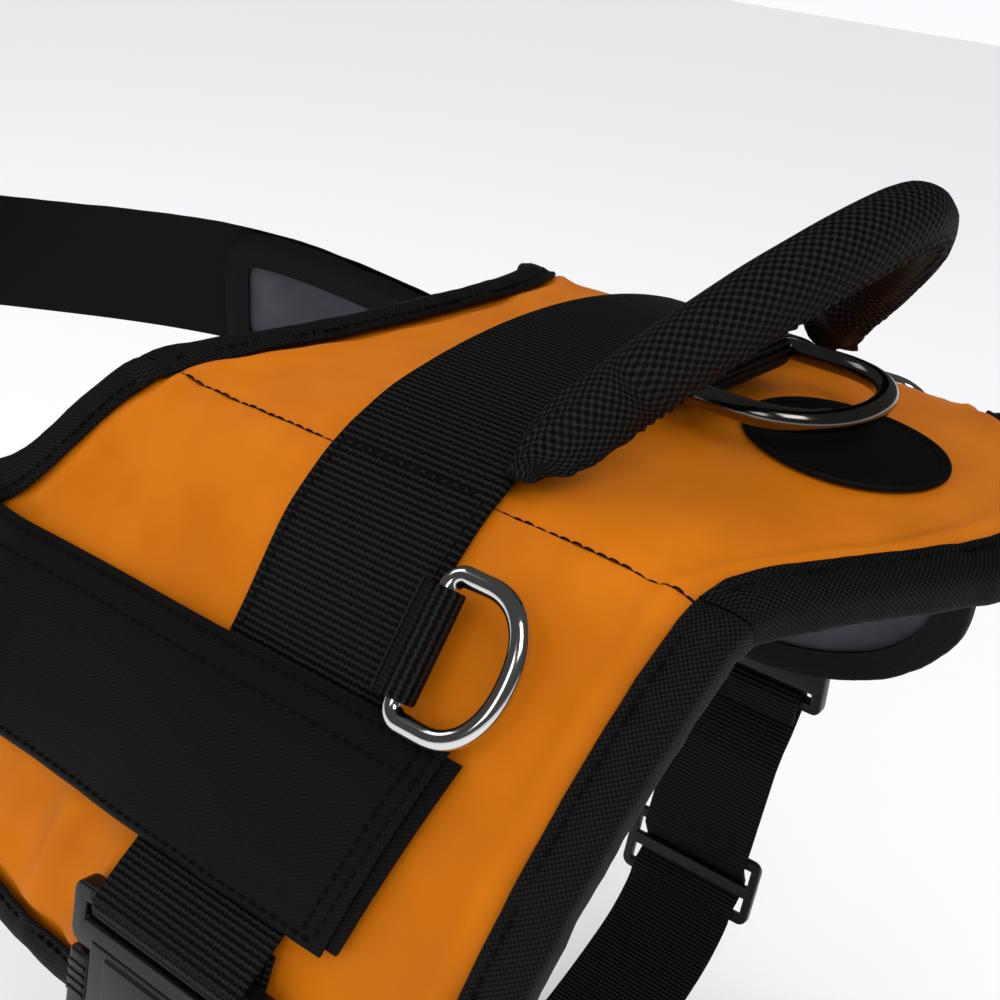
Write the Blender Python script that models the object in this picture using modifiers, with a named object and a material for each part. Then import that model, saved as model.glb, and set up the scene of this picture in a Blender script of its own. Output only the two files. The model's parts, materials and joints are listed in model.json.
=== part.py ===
"""Dog harness: a padded saddle with girth, belly and chest straps, a grab handle and three rings.

The harness is filled out as if worn. +X is the dog's left side, -Y is towards its head, +Z is up.
The origin is on the underside of the saddle, over the spine, under the middle of the girth webbing.

Every cloth piece is drawn as a flat pattern first. A place in the pattern is q, y and n:
q runs over the cloth from the spine down the flank (negative on the right side), y runs towards
the tail, and n is the height over the saddle's outer face. The function on_body bends the pattern.
"""
import math

import bmesh
import bpy
from mathutils import Matrix, Vector

# Saddle cloth, in metres
PAD = 0.009                 # saddle thickness in the middle
PAD_EDGE = 0.005            # saddle thickness where the binding holds it
PAD_CREASE = 0.0062         # saddle thickness under the topstitched crease
PAD_FLAT = 0.0135           # width of the thin rim
PAD_SLOPE = 0.016           # width over which the padding thickens behind the rim
PUFF = 0.002                # how far the shell stands up between its seams
PUFF_REACH = 0.022
SHELL = 0.0020              # shell cloth
GAP = 0.0003                # clearance between touching pieces
SEAM = 0.0004               # clearance between panels at the crease
HALF_TOP = 0.086            # spine to crease
BACK = PAD - PUFF           # height of the pattern's surface over the origin
LEAF = 0.010                # width of a binding leaf inside the cut edge
LEAF_GAP = 0.0008           # the leaf's free edge over the shell
LEAF_UNDER = 0.0017         # and under the lining
BIND = 0.0016               # binding cloth
BIND_OUT = GAP + BIND       # how far the binding passes the cut edge

# Section of the worn form: where each stretch ends, and how steeply the cloth then points down
SECTION = (
    # stretch, end_q, end_angle
    ("back", 0.079, 8.0),
    ("crease", 0.093, 49.2),
    ("flank", 0.241, 86.0),
    ("drop", 0.352, 99.0),
    ("corner", 0.392, 150.0),
)
SECTION_STEP = 0.0005

# Plan of the chest strap, from the shoulder forward
DROP_FROM = 0.042           # where the back starts to fall away towards the tail
DROP_SLOPE = 0.078
BEND_Y = -0.095
CHEST_Q = 0.1625            # middle of the chest strap on the flank
CHEST_HALF = 0.026
CHEST_PATH = (
    # stretch, length, turn towards the middle
    ("shoulder", 0.070, 15.0),
    ("arm", 0.100, 1.0),
    ("side", 0.105, 5.0),
)
CHEST_RISE = 0.016          # how far the strap climbs in front of the shoulder
CHEST_RISE_AT = 0.150
CHEST_DROP = 0.012          # how far it drops again to the middle of the chest
CHEST_LEAN = math.radians(17.0)

# Cut edges of the top panel
TOP_EDGE = (
    # q, front_y, rear_y
    (0.000, -0.0695, 0.1230),
    (0.015, -0.0698, 0.1215),
    (0.030, -0.0715, 0.1165),
    (0.046, -0.0750, 0.1085),
    (0.060, -0.0800, 0.1000),
    (0.072, -0.0865, 0.0920),
    (0.080, -0.0925, 0.0865),
    (0.086, -0.0965, 0.0835),
)
TOP_COLUMNS = 20
RIM_LINES = (0.0, 0.014, 0.026)       # mesh lines beside a cut edge
TOP_MIDDLE_LINES = 5

# Cut edges of a side panel, a row for each mesh line from the tail to the front of the arm
SIDE_EDGE = (
    # upper_q, upper_y, lower_q, lower_y
    (0.086, 0.0835, 0.1980, 0.0700),
    (0.086, 0.0720, 0.2110, 0.0620),
    (0.086, 0.0600, 0.2230, 0.0520),
    (0.086, 0.0430, 0.2320, 0.0370),
    (0.086, 0.0230, 0.2385, 0.0180),
    (0.086, 0.0010, 0.2415, -0.0030),
    (0.086, -0.0220, 0.2425, -0.0260),
    (0.086, -0.0450, 0.2425, -0.0480),
    (0.086, -0.0700, 0.2405, -0.0700),
    (0.086, -0.0965, 0.2340, -0.0880),
    (0.0915, -0.0993, 0.2300, -0.0945),
    (0.098, -0.1025, 0.2250, -0.1010),
    (0.105, -0.1058, 0.2205, -0.1078),
    (0.112, -0.1095, 0.2160, -0.1140),
    (0.125, -0.1175, 0.2070, -0.1280),
    (0.133, -0.1300, 0.1985, -0.1450),
    (0.1370, -0.1520, 0.1930, -0.1650),
    (0.1380, -0.1820, 0.1905, -0.1850),
    (0.1380, -0.2080, 0.1900, -0.2080),
    (0.1380, -0.2320, 0.1900, -0.2320),
    (0.1380, -0.2430, 0.1900, -0.2430),
    (0.1380, -0.2540, 0.1900, -0.2540),
)
CORNER_ROW = 9              # the row at the front end of the crease
UPPER_LINES = (0.0, 0.005, 0.0135, 0.024)
LOWER_LINES = (0.024, 0.0135, 0.0)
SIDE_MIDDLE_LINES = 2

# Webbing and straps
WEBBING = 0.0018
WEB_HALF = 0.024
WEB_LIFT = 0.0004           # webbing over the shell
WEB_ARCH = 0.0085           # slack of the girth webbing over the back
WEB_DRIFT = (
    # q, y of the webbing's middle
    (0.000, -0.0028),
    (0.105, -0.0028),
    (0.135, -0.0020),
    (0.190, -0.0070),
    (0.245, -0.009),
    (0.352, -0.012),
    (0.500, -0.014),
)
WEB_COLUMNS = (0.0, 0.012, 0.024, 0.036, 0.048, 0.058, 0.066, 0.072, 0.078, 0.084, 0.090, 0.097)
WEB_STEP = 0.009
PLY = 0.0011                # hook and loop ply between panel and chest strap
PLY_PAST = 0.0032           # how far the ply shows behind the strap's end
PLY_INSET = 0.0020
STRIP_END = ((0.1365, 0.0415), (0.1885, 0.0290))    # q and y of the strap's two rear corners
STRIP_LINES = (0.033, 0.0265, 0.0, -0.0265, -0.033, -0.050, -0.075, -0.094, -0.102)
ARM_LINES = (-0.112, -0.126, -0.140, -0.157, -0.174, -0.191, -0.208, -0.225, -0.242)
WEB_RAMP = 0.028            # past this distance the strap is down on the panel again
ARM_LIFT = 0.0034           # strap over the arm's binding
CHEST_STEP = 0.012

# Handle
HANDLE_SPAN = 0.065
HANDLE_Y = 0.0240
HANDLE_RISE = 0.068
HANDLE_LEAN = math.radians(39.5)
HANDLE_POWER = 1.16
HANDLE_R = 0.0085
HANDLE_SIDES = 14
HANDLE_RINGS = 22
TAB_PLACES = (0.0815, 0.0750, 0.0690)    # mesh lines of a flattened handle end
TAB_HALF = 0.0084
TAB_TIP = 0.0034
FOOT_Y = 0.0240
TAB_THICK = 0.0050
TAB_BLEND = 0.020           # length over which the handle turns from flat to round

# Rings, measured on the wire's middle line
TOP_RING = {"half": 0.0282, "depth": 0.0385, "wire": 0.0030, "corner": 0.0040}
TOP_RING_PLACE = (0.0, 0.0310, 0.0095)              # q, y, n of the bar
SIDE_RING = {"half": 0.0166, "depth": 0.0222, "wire": 0.0024, "corner": 0.0035}
SIDE_RING_PLACE = (0.1198, 0.0272, 0.0085)
RING_POINTS = 15            # points round the bow
TAPE = 0.0015
TAPE_EDGES = (-1.0, -0.5, 0.0, 0.5, 1.0)
TAPE_TURNS = 11             # stretches round the bar
TOP_TAPE_HALF = 0.0240
SIDE_TAPE_HALF = 0.0128
TAPE_TAIL_Y = 0.006
TAPE_SINK = 0.0020          # top tape under the girth webbing
TOP_KNEE_Y = 0.0256
SIDE_KNEE_Y = 0.0184

# Round patch
PATCH_Y = 0.0646
PATCH_R = 0.0262
PATCH_THICK = 0.0012
PATCH_RIM = 0.0011
PATCH_SIDES = 32

# Side release buckles and three-bar sliders, in their own plane: a runs down, b runs towards the tail
BUCKLE_Q = 0.2330
BUCKLE_N = 0.0062
BUCKLE_HALF = 0.0320
BUCKLE_THICK = 0.0056
BAR_AT = 0.0290             # buckle's middle to the middle of each end bar
BAR_HALF = 0.0023
SLOT_HALF = 0.0272
SLOT_END = 0.0175
ARM_IN = 0.0246             # the plug's arms lie outside this line
ARM_TIP = 0.0120
SOCKET_END = 0.0080
LOOP_R = 0.0041             # strap's middle line round a bar
LOOP_TAIL = 0.0090
SLIDER_Q = 0.3490
SLIDER_HALF = 0.0305
SLIDER_THICK = 0.0030
SLIDER_END = 0.0145
SLIDER_SLOT = (0.0025, 0.0105)
SLIDER_SLOT_HALF = 0.0268
SLIDER_LIFT = 0.0028        # strap's middle line over or under a bar
PLATE_BEVEL = 0.0010

# Finishes: colour, roughness, metallic
FINISH = {
    "orange_satin": ((0.75, 0.21, 0.02), 0.45, 0.0),
    "grey_lining": ((0.08, 0.08, 0.09), 0.60, 0.0),
    "black_binding": ((0.012, 0.012, 0.013), 0.80, 0.0),
    "black_webbing": ((0.010, 0.010, 0.011), 0.75, 0.0),
    "black_strap": ((0.009, 0.009, 0.010), 0.85, 0.0),
    "black_cover": ((0.010, 0.010, 0.012), 0.80, 0.0),
    "patch_rubber": ((0.014, 0.014, 0.015), 0.55, 0.0),
    "buckle_plastic": ((0.012, 0.012, 0.013), 0.40, 0.0),
    "bright_nickel": ((0.72, 0.72, 0.74), 0.12, 1.0),
    "dark_nickel": ((0.20, 0.20, 0.22), 0.15, 1.0),
}
SIDES = (("left", 1), ("right", -1))


def start():
    """Empty the scene and make the part's collection."""
    for thing in list(bpy.data.objects):
        bpy.data.objects.remove(thing, do_unlink=True)
    harness = bpy.data.collections.new("dog_harness")
    bpy.context.scene.collection.children.link(harness)
    return harness


def finish_material(name):
    """Principled material for one finish, made once."""
    material = bpy.data.materials.get(name)
    if material is None:
        colour, roughness, metallic = FINISH[name]
        material = bpy.data.materials.new(name)
        material.use_nodes = True
        shader = material.node_tree.nodes["Principled BSDF"]
        shader.inputs["Base Color"].default_value = (*colour, 1.0)
        shader.inputs["Roughness"].default_value = roughness
        shader.inputs["Metallic"].default_value = metallic
    return material


def add_object(name, data, finish, smooth_angle=35.0):
    """Put a mesh or curve into the harness as a named object."""
    data.materials.append(finish_material(finish))
    thing = bpy.data.objects.new(name, data)
    harness.objects.link(thing)
    if thing.type == "MESH":
        data.shade_smooth()
        data.set_sharp_from_angle(angle=math.radians(smooth_angle))
    return thing


def close_mesh(bm, name):
    """Turn a bmesh into a mesh whose faces point outwards."""
    bmesh.ops.recalc_face_normals(bm, faces=bm.faces)
    if bm.calc_volume(signed=True) < 0.0:
        bmesh.ops.reverse_faces(bm, faces=bm.faces)
    mesh = bpy.data.meshes.new(name)
    bm.to_mesh(mesh)
    bm.free()
    return mesh


# Number helpers


def ease(t):
    """Smooth step from 0 to 1."""
    t = min(max(t, 0.0), 1.0)
    return t * t * (3.0 - 2.0 * t)


def mix(a, b, share):
    """Value between a and b."""
    return a + (b - a) * share


def read_table(rows, x, column=1):
    """Value of a column at x, with straight lines between the rows."""
    if x <= rows[0][0]:
        return rows[0][column]
    for low, high in zip(rows, rows[1:]):
        if x <= high[0]:
            return mix(low[column], high[column], (x - low[0]) / (high[0] - low[0]))
    return rows[-1][column]


# Worn form


def section_rows():
    """Angle of the cloth at each end of a stretch, with the belly added so that it closes."""
    rows = [(0.0, 0.0)]
    for _, end_q, end_angle in SECTION:
        rows.append((end_q, math.radians(end_angle)))
    return rows


def walk_section():
    """Places x, z and angle along the section, one every step, up to the middle of the belly."""
    rows = section_rows()
    places = [(0.0, 0.0, 0.0)]
    x = 0.0
    z = 0.0
    q = 0.0
    last_q, last_angle = rows[-1]
    while q < last_q - 0.5 * SECTION_STEP:
        angle = read_table(rows, q + 0.5 * SECTION_STEP)
        x += math.cos(angle) * SECTION_STEP
        z -= math.sin(angle) * SECTION_STEP
        q += SECTION_STEP
        places.append((x, z, read_table(rows, q)))
    belly_length = x * (math.pi - last_angle) / math.sin(last_angle)
    steps = round(belly_length / SECTION_STEP)
    for i in range(steps):
        angle = mix(last_angle, math.pi, (i + 0.5) / steps)
        x += math.cos(angle) * belly_length / steps
        z -= math.sin(angle) * belly_length / steps
        places.append((x, z, mix(last_angle, math.pi, (i + 1) / steps)))
    return places


SECTION_PLACES = walk_section()
BELLY_Q = (len(SECTION_PLACES) - 1) * SECTION_STEP


def section(q):
    """Place x, z and downward angle of the cloth at q on the left side."""
    place = min(max(q / SECTION_STEP, 0.0), len(SECTION_PLACES) - 1.0)
    i = min(int(place), len(SECTION_PLACES) - 2)
    share = place - i
    return [mix(a, b, share) for a, b in zip(SECTION_PLACES[i], SECTION_PLACES[i + 1])]


def walk_chest():
    """Places x, y and heading of the chest strap from the shoulder to the middle of the chest."""
    x = section(CHEST_Q)[0]
    y = BEND_Y
    heading = 0.0
    places = [(x, y, heading)]
    for _, length, turn in CHEST_PATH:
        steps = round(length / SECTION_STEP)
        for _ in range(steps):
            heading += 0.5 * math.radians(turn) / steps
            x -= math.sin(heading) * SECTION_STEP
            y -= math.cos(heading) * SECTION_STEP
            heading += 0.5 * math.radians(turn) / steps
            places.append((x, y, heading))
    front_radius = x / math.cos(heading)
    front_length = front_radius * (0.5 * math.pi - heading)
    steps = round(front_length / SECTION_STEP)
    turn = (0.5 * math.pi - heading) / steps
    for _ in range(steps):
        heading += 0.5 * turn
        x -= math.sin(heading) * front_length / steps
        y -= math.cos(heading) * front_length / steps
        heading += 0.5 * turn
        places.append((x, y, heading))
    return places


CHEST_PLACES = walk_chest()
CHEST_LENGTH = (len(CHEST_PLACES) - 1) * SECTION_STEP


def puff(q, y):
    """How far the shell stands up at a place: nothing at the crease and at the lower edge."""
    q = abs(q)
    from_crease = ease(abs(q - HALF_TOP) / PUFF_REACH)
    from_hem = ease((SIDE_EDGE[6][2] - q) / PUFF_REACH)
    from_shoulder = ease((y - BEND_Y + 0.030) / 0.030)
    return PUFF * from_crease * from_hem * from_shoulder


def rear_drop(y):
    """How far the back falls away towards the tail."""
    past = max(y - DROP_FROM, 0.0)
    return DROP_SLOPE * past * past / (past + 0.010)


def on_body(q, y, n):
    """Point of the worn form over the pattern place q, y at the height n."""
    side = 1.0 if q >= 0.0 else -1.0
    x, z, angle = section(abs(q))
    n += puff(q, y)
    if y >= BEND_Y:
        return Vector((side * (x + n * math.sin(angle)), y, z + n * math.cos(angle) + BACK - rear_drop(y)))
    forward = BEND_Y - y
    step = min(forward / SECTION_STEP, len(CHEST_PLACES) - 1.0)
    i = min(int(step), len(CHEST_PLACES) - 2)
    path_x, path_y, heading = [mix(a, b, step - i) for a, b in zip(CHEST_PLACES[i], CHEST_PLACES[i + 1])]
    mid_x, mid_z, _ = section(CHEST_Q)
    lean = CHEST_LEAN * ease(forward / CHEST_RISE_AT)
    out = x - mid_x + n * math.sin(angle)
    up = z - mid_z + n * math.cos(angle)
    out, up = out * math.cos(lean) + up * math.sin(lean), up * math.cos(lean) - out * math.sin(lean)
    rise = CHEST_RISE * ease(forward / CHEST_RISE_AT)
    rise -= CHEST_DROP * ease((forward - CHEST_RISE_AT) / (CHEST_LENGTH - CHEST_RISE_AT))
    point_x = path_x + out * math.cos(heading)
    point_y = path_y - out * math.sin(heading)
    return Vector((side * point_x, point_y, mid_z + up + rise + BACK))


def place_frame(q, y, n):
    """Rigid frame at a pattern place: columns are down the cloth, towards the tail, and outwards."""
    side = 1.0 if q >= 0.0 else -1.0
    angle = section(abs(q))[2]
    down = Vector((side * math.cos(angle), 0.0, -math.sin(angle)))
    tail = Vector((0.0, 1.0, 0.0))
    out = Vector((side * math.sin(angle), 0.0, math.cos(angle)))
    frame = Matrix((down, tail, out)).transposed().to_4x4()
    frame.translation = on_body(q, y, n)
    return frame


def pattern_place(point, q):
    """Pattern place q and n of a point of the left side, found from a nearby q."""
    n = 0.0
    for _ in range(12):
        x, z, angle = section(q)
        away_x = point.x - x
        away_z = point.z - BACK - z
        q += away_x * math.cos(angle) - away_z * math.sin(angle)
        n = away_x * math.sin(angle) + away_z * math.cos(angle)
    return q, n - puff(q, point.y)


def drift(q):
    """Middle of the girth and belly webbing at q."""
    return read_table(WEB_DRIFT, abs(q))


def arch(q):
    """Slack of the girth webbing over the back."""
    share = min(abs(q) / HALF_TOP, 1.0)
    return WEB_ARCH * (1.0 - share * share)


# Cut edges


def side_outline():
    """Cut edge of a side panel from the front of the crease round the arm to the tail corner."""
    upper = [(row[0], row[1]) for row in SIDE_EDGE[CORNER_ROW:]]
    lower = [(row[2], row[3]) for row in reversed(SIDE_EDGE)]
    return upper + lower + [(SIDE_EDGE[0][0], SIDE_EDGE[0][1])]


SIDE_OUTLINE = side_outline()


def edge_distance(q, y):
    """Distance from a pattern place to the nearest cut edge of its panel."""
    q = abs(q)
    if q < HALF_TOP:
        front = y - read_table(TOP_EDGE, q)
        rear = read_table(TOP_EDGE, q, 2) - y
        return max(min(front, rear), 0.0)
    nearest = 1.0
    for (q0, y0), (q1, y1) in zip(SIDE_OUTLINE, SIDE_OUTLINE[1:]):
        run = Vector((q1 - q0, y1 - y0))
        share = Vector((q - q0, y - y0)).dot(run) / run.length_squared
        share = min(max(share, 0.0), 1.0)
        nearest = min(nearest, math.hypot(q - q0 - run.x * share, y - y0 - run.y * share))
    return nearest


def padding(q, y):
    """Thickness of the saddle at a pattern place."""
    full = mix(PAD_CREASE, PAD, ease(abs(abs(q) - HALF_TOP) / PAD_SLOPE))
    return mix(PAD_EDGE, full, ease((edge_distance(q, y) - PAD_FLAT) / PAD_SLOPE))


# Ways of making a piece


def slab(name, rows, low, high, finish):
    """Closed sheet from rows of pattern places: a grid, extruded once, then bent onto the body."""
    bm = bmesh.new()
    columns = len(rows[0])
    bmesh.ops.create_grid(bm, x_segments=columns - 1, y_segments=len(rows) - 1, size=0.5)
    for vert in bm.verts:
        vert.co.z = 0.0
    extruded = bmesh.ops.extrude_face_region(bm, geom=list(bm.faces))
    for item in extruded["geom"]:
        if isinstance(item, bmesh.types.BMVert):
            item.co.z = 1.0
    for vert in bm.verts:
        column = round((vert.co.x + 0.5) * (columns - 1))
        row = round((vert.co.y + 0.5) * (len(rows) - 1))
        q, y = rows[row][column]
        n = high(q, y) if vert.co.z > 0.5 else low(q, y)
        vert.co = on_body(q, y, n)
    return add_object(name, close_mesh(bm, name), finish)


def loft(name, rings, finish, smooth_angle=35.0):
    """Closed body through rings of the same number of points, with flat ends."""
    bm = bmesh.new()
    loops = [[bm.verts.new(point) for point in ring] for ring in rings]
    count = len(loops[0])
    for near, far in zip(loops, loops[1:]):
        for i in range(count):
            j = (i + 1) % count
            bm.faces.new((near[i], near[j], far[j], far[i]))
    bm.faces.new(loops[0])
    bm.faces.new(list(reversed(loops[-1])))
    return add_object(name, close_mesh(bm, name), finish, smooth_angle)


def ribbon_ring(path, i, thick, edges, place):
    """Section of a ribbon at station i of its middle line, as points of the function place."""
    ahead = Vector(path[min(i + 1, len(path) - 1)])
    behind = Vector(path[max(i - 1, 0)])
    run = (ahead - behind).normalized()
    up = Vector((-run.y, run.x)) * 0.5 * thick
    middle = Vector(path[i])
    low = [place(middle.x - up.x, middle.y - up.y, edge) for edge in edges]
    high = [place(middle.x + up.x, middle.y + up.y, edge) for edge in reversed(edges)]
    return low + high


def webbing_place(q, n, edge):
    """Point of the girth or belly webbing."""
    return on_body(q, drift(q) + edge * WEB_HALF, n)


def plate(name, outline, holes, thick, frame, finish):
    """Flat plate from an outline and its holes, bevelled and placed by a frame."""
    curve = bpy.data.curves.new(name, "CURVE")
    curve.dimensions = "2D"
    curve.fill_mode = "BOTH"
    curve.extrude = 0.5 * thick
    for loop in [outline] + holes:
        spline = curve.splines.new("POLY")
        spline.points.add(len(loop) - 1)
        for point, (a, b) in zip(spline.points, loop):
            point.co = (a, b, 0.0, 1.0)
        spline.use_cyclic_u = True
    drawn = bpy.data.objects.new(name + "_outline", curve)
    harness.objects.link(drawn)
    mesh = bpy.data.meshes.new_from_object(drawn.evaluated_get(bpy.context.evaluated_depsgraph_get()))
    bpy.data.objects.remove(drawn, do_unlink=True)
    bm = bmesh.new()
    bm.from_mesh(mesh)
    bmesh.ops.remove_doubles(bm, verts=bm.verts, dist=0.00001)
    bmesh.ops.dissolve_limit(bm, angle_limit=0.01, verts=bm.verts, edges=bm.edges)
    bmesh.ops.transform(bm, matrix=frame, verts=bm.verts)
    thing = add_object(name, close_mesh(bm, name), finish)
    bevel = thing.modifiers.new("edges", "BEVEL")
    bevel.width = PLATE_BEVEL
    bevel.segments = 1
    bevel.limit_method = "ANGLE"
    bevel.angle_limit = math.radians(40.0)
    return thing


def rounded(corners, radius):
    """Outline with each corner cut to a short arc of three points."""
    points = []
    count = len(corners)
    for i, corner in enumerate(corners):
        here = Vector(corner)
        before = (Vector(corners[i - 1]) - here).normalized()
        after = (Vector(corners[(i + 1) % count]) - here).normalized()
        points.append(here + before * radius)
        points.append(here + (before + after) * radius * 0.29)
        points.append(here + after * radius)
    return [(point.x, point.y) for point in points]


# Saddle


def top_rows():
    """Mesh lines of the top panel, from the front edge to the rear edge."""
    middle = [i / (TOP_MIDDLE_LINES + 1) for i in range(1, TOP_MIDDLE_LINES + 1)]
    rows = []
    for kind, value in ([("front", d) for d in RIM_LINES] + [("share", s) for s in middle]
                        + [("rear", d) for d in reversed(RIM_LINES)]):
        row = []
        for column in range(TOP_COLUMNS + 1):
            share = 2.0 * column / TOP_COLUMNS - 1.0
            q = (HALF_TOP - 0.5 * SEAM) * (1.25 * share - 0.25 * share ** 3)
            front = read_table(TOP_EDGE, abs(q))
            rear = read_table(TOP_EDGE, abs(q), 2)
            if kind == "front":
                y = front + value
            elif kind == "rear":
                y = rear - value
            else:
                y = mix(front + RIM_LINES[-1], rear - RIM_LINES[-1], value)
            row.append((q, y))
        rows.append(row)
    return rows


def side_rows(side):
    """Mesh lines of a side panel, from the tail edge to the front of the arm."""
    rows = []
    for upper_q, upper_y, lower_q, lower_y in SIDE_EDGE:
        upper_q = max(upper_q, HALF_TOP + 0.5 * SEAM)
        length = math.hypot(lower_q - upper_q, lower_y - upper_y)
        shares = [d / length for d in UPPER_LINES]
        low_share = 1.0 - LOWER_LINES[0] / length
        for i in range(1, SIDE_MIDDLE_LINES + 1):
            shares.append(mix(shares[len(UPPER_LINES) - 1], low_share, i / (SIDE_MIDDLE_LINES + 1)))
        shares += [1.0 - d / length for d in LOWER_LINES]
        rows.append([(side * mix(upper_q, lower_q, s), mix(upper_y, lower_y, s)) for s in shares])
    return rows


def make_saddle():
    """Shell panels and padded lining panels, three of each."""
    panels = [("top", top_rows())]
    panels += [(name, side_rows(side)) for name, side in SIDES]
    for name, rows in panels:
        slab("shell_" + name, rows, lambda q, y: -SHELL, lambda q, y: 0.0, "orange_satin")
        slab("lining_" + name, rows, lambda q, y: -padding(q, y), lambda q, y: -SHELL - GAP, "grey_lining")


def binding_ring(place, inward, side):
    """Section of the folded binding at a place of the cut edge, with its inward direction."""
    ring = []
    thick = padding(*place)
    for reach, height in ((LEAF, LEAF_GAP + BIND), (-BIND_OUT, BIND_OUT), (-BIND_OUT, -BIND_OUT - thick),
                          (LEAF, -LEAF_UNDER - BIND), (LEAF, -LEAF_UNDER), (-GAP, -GAP - thick),
                          (-GAP, GAP), (LEAF, LEAF_GAP)):
        q = place[0] + inward[0] * reach
        y = place[1] + inward[1] * reach
        if height < 0.0 and reach > 0.0:
            height -= padding(q, y)
        ring.append(on_body(side * q, y, height))
    return ring


def binding(name, outline, end_inward, side):
    """Binding along an outline of the pattern; the panel lies to the left of the direction."""
    rings = []
    last = len(outline) - 1
    for i, place in enumerate(outline):
        if i in (0, last):
            inward = Vector(end_inward[0 if i == 0 else 1])
        else:
            back = (Vector(place) - Vector(outline[i - 1])).normalized()
            ahead = (Vector(outline[i + 1]) - Vector(place)).normalized()
            middle = (back + ahead).normalized()
            inward = Vector((-middle.y, middle.x)) / max(middle.dot(back), 0.6)
        rings.append(binding_ring(place, inward, side))
    return loft(name, rings, "black_binding", 50.0)


def make_bindings():
    """Bindings of the front edge, the rear edge and both sides."""
    seam = 0.5 * SEAM
    lines = top_rows()
    binding("binding_front", lines[0], ((0.0, 1.0), (0.0, 1.0)), 1)
    binding("binding_rear", list(reversed(lines[-1])), ((0.0, -1.0), (0.0, -1.0)), 1)
    rows = side_rows(1)
    upper = [rows[i][0] for i in range(CORNER_ROW, len(rows))]
    arm_end = rows[-1][1:-1]
    lower = [row[-1] for row in reversed(rows)]
    tail = list(reversed(rows[0][:-1]))
    outline = upper + arm_end + lower + tail
    outline[0] = (HALF_TOP + seam, outline[0][1])
    outline[-1] = (HALF_TOP + seam, outline[-1][1])
    for name, side in SIDES:
        binding("binding_" + name, outline, ((0.0, 1.0), (0.0, -1.0)), side)


# Straps


def over_webbing(q, y):
    """1 where a strap lies over the girth webbing, 0 beside it."""
    return 1.0 if abs(y - drift(q)) < WEB_RAMP else 0.0


def ply_low(q, y):
    """Underside of the hook and loop ply."""
    return WEB_LIFT + (WEBBING + GAP) * over_webbing(q, y)


def strap_low(q, y):
    """Underside of the chest strap."""
    if y < STRIP_LINES[-1] - GAP:
        return ARM_LIFT
    return ply_low(q, y) + PLY + GAP


def strap_rows(side, front_lines):
    """Mesh lines of a chest strap, from its rear end forward."""
    rows = []
    shares = [0.0, 1.0 / 3.0, 2.0 / 3.0, 1.0]
    (upper_q, upper_y), (lower_q, lower_y) = STRIP_END
    rows.append([(side * mix(upper_q, lower_q, s), mix(upper_y, lower_y, s)) for s in shares])
    for line in STRIP_LINES + front_lines:
        row = []
        for s in shares:
            q = mix(upper_q, lower_q, s)
            slant = drift(q) * ease((line - STRIP_LINES[-1]) / 0.050)
            row.append((side * q, line + slant))
        rows.append(row)
    return rows


def make_straps():
    """Chest strap with its plies, girth webbing and belly strap."""
    loose = []
    y = ARM_LINES[-1] - CHEST_STEP
    while y > BEND_Y - CHEST_LENGTH + 0.5 * CHEST_STEP:
        loose.append(y)
        y -= CHEST_STEP
    left = strap_rows(1, ARM_LINES + tuple(loose))
    middle = [(q, BEND_Y - CHEST_LENGTH) for q, _ in left[-1]]
    right = strap_rows(-1, ARM_LINES + tuple(loose))
    slab("chest_strap", left + [middle] + list(reversed(right)), strap_low,
         lambda q, y: strap_low(q, y) + WEBBING, "black_strap")
    for name, side in SIDES:
        rows = strap_rows(side, ())
        rows[0] = [(q, y + PLY_PAST) for q, y in rows[0]]
        inner = []
        for row in rows:
            inset = side * PLY_INSET
            inner.append([(row[0][0] + inset, row[0][1]), row[1], row[2], (row[3][0] - inset, row[3][1])])
        slab("loop_ply_" + name, inner, ply_low, lambda q, y: ply_low(q, y) + PLY, "black_strap")
    make_girth()
    make_belly()


def bar_places():
    """Pattern places q and n of the two bars of a buckle."""
    frame = place_frame(BUCKLE_Q, drift(BUCKLE_Q), BUCKLE_N)
    places = []
    for sign in (-1, 1):
        places.append(pattern_place(frame @ Vector((sign * BAR_AT, 0.0, 0.0)), BUCKLE_Q + sign * BAR_AT))
    return places


def hook_path(bar_q, bar_n, sense):
    """Middle line of a strap that comes from outside, turns round a bar and ends beneath itself."""
    points = []
    for degrees in range(114, -91, -17):
        angle = math.radians(degrees)
        points.append((bar_q + sense * LOOP_R * math.cos(angle), bar_n + LOOP_R * math.sin(angle)))
    points.append((bar_q - sense * LOOP_TAIL, bar_n - LOOP_R))
    return points


def make_girth():
    """Girth webbing from the left socket's bar over the back to the right one."""
    middle_n = WEB_LIFT + 0.5 * WEBBING
    (bar_q, bar_n), _ = bar_places()
    half = [(q, middle_n + arch(q)) for q in WEB_COLUMNS]
    flat_end = STRIP_END[1][0]
    steps = round((flat_end - WEB_COLUMNS[-1]) / WEB_STEP)
    for i in range(1, steps + 1):
        half.append((mix(WEB_COLUMNS[-1], flat_end, i / steps), middle_n))
    half.append((0.5 * (flat_end + bar_q) - 0.001, mix(middle_n, bar_n + LOOP_R, 0.45)))
    half += hook_path(bar_q, bar_n, 1)
    other = [(-q, n) for q, n in reversed(half[1:])]
    path = other + half
    rings = [ribbon_ring(path, i, WEBBING, (-1, 1), webbing_place) for i in range(len(path))]
    loft("girth_webbing", rings, "black_webbing")


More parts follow.
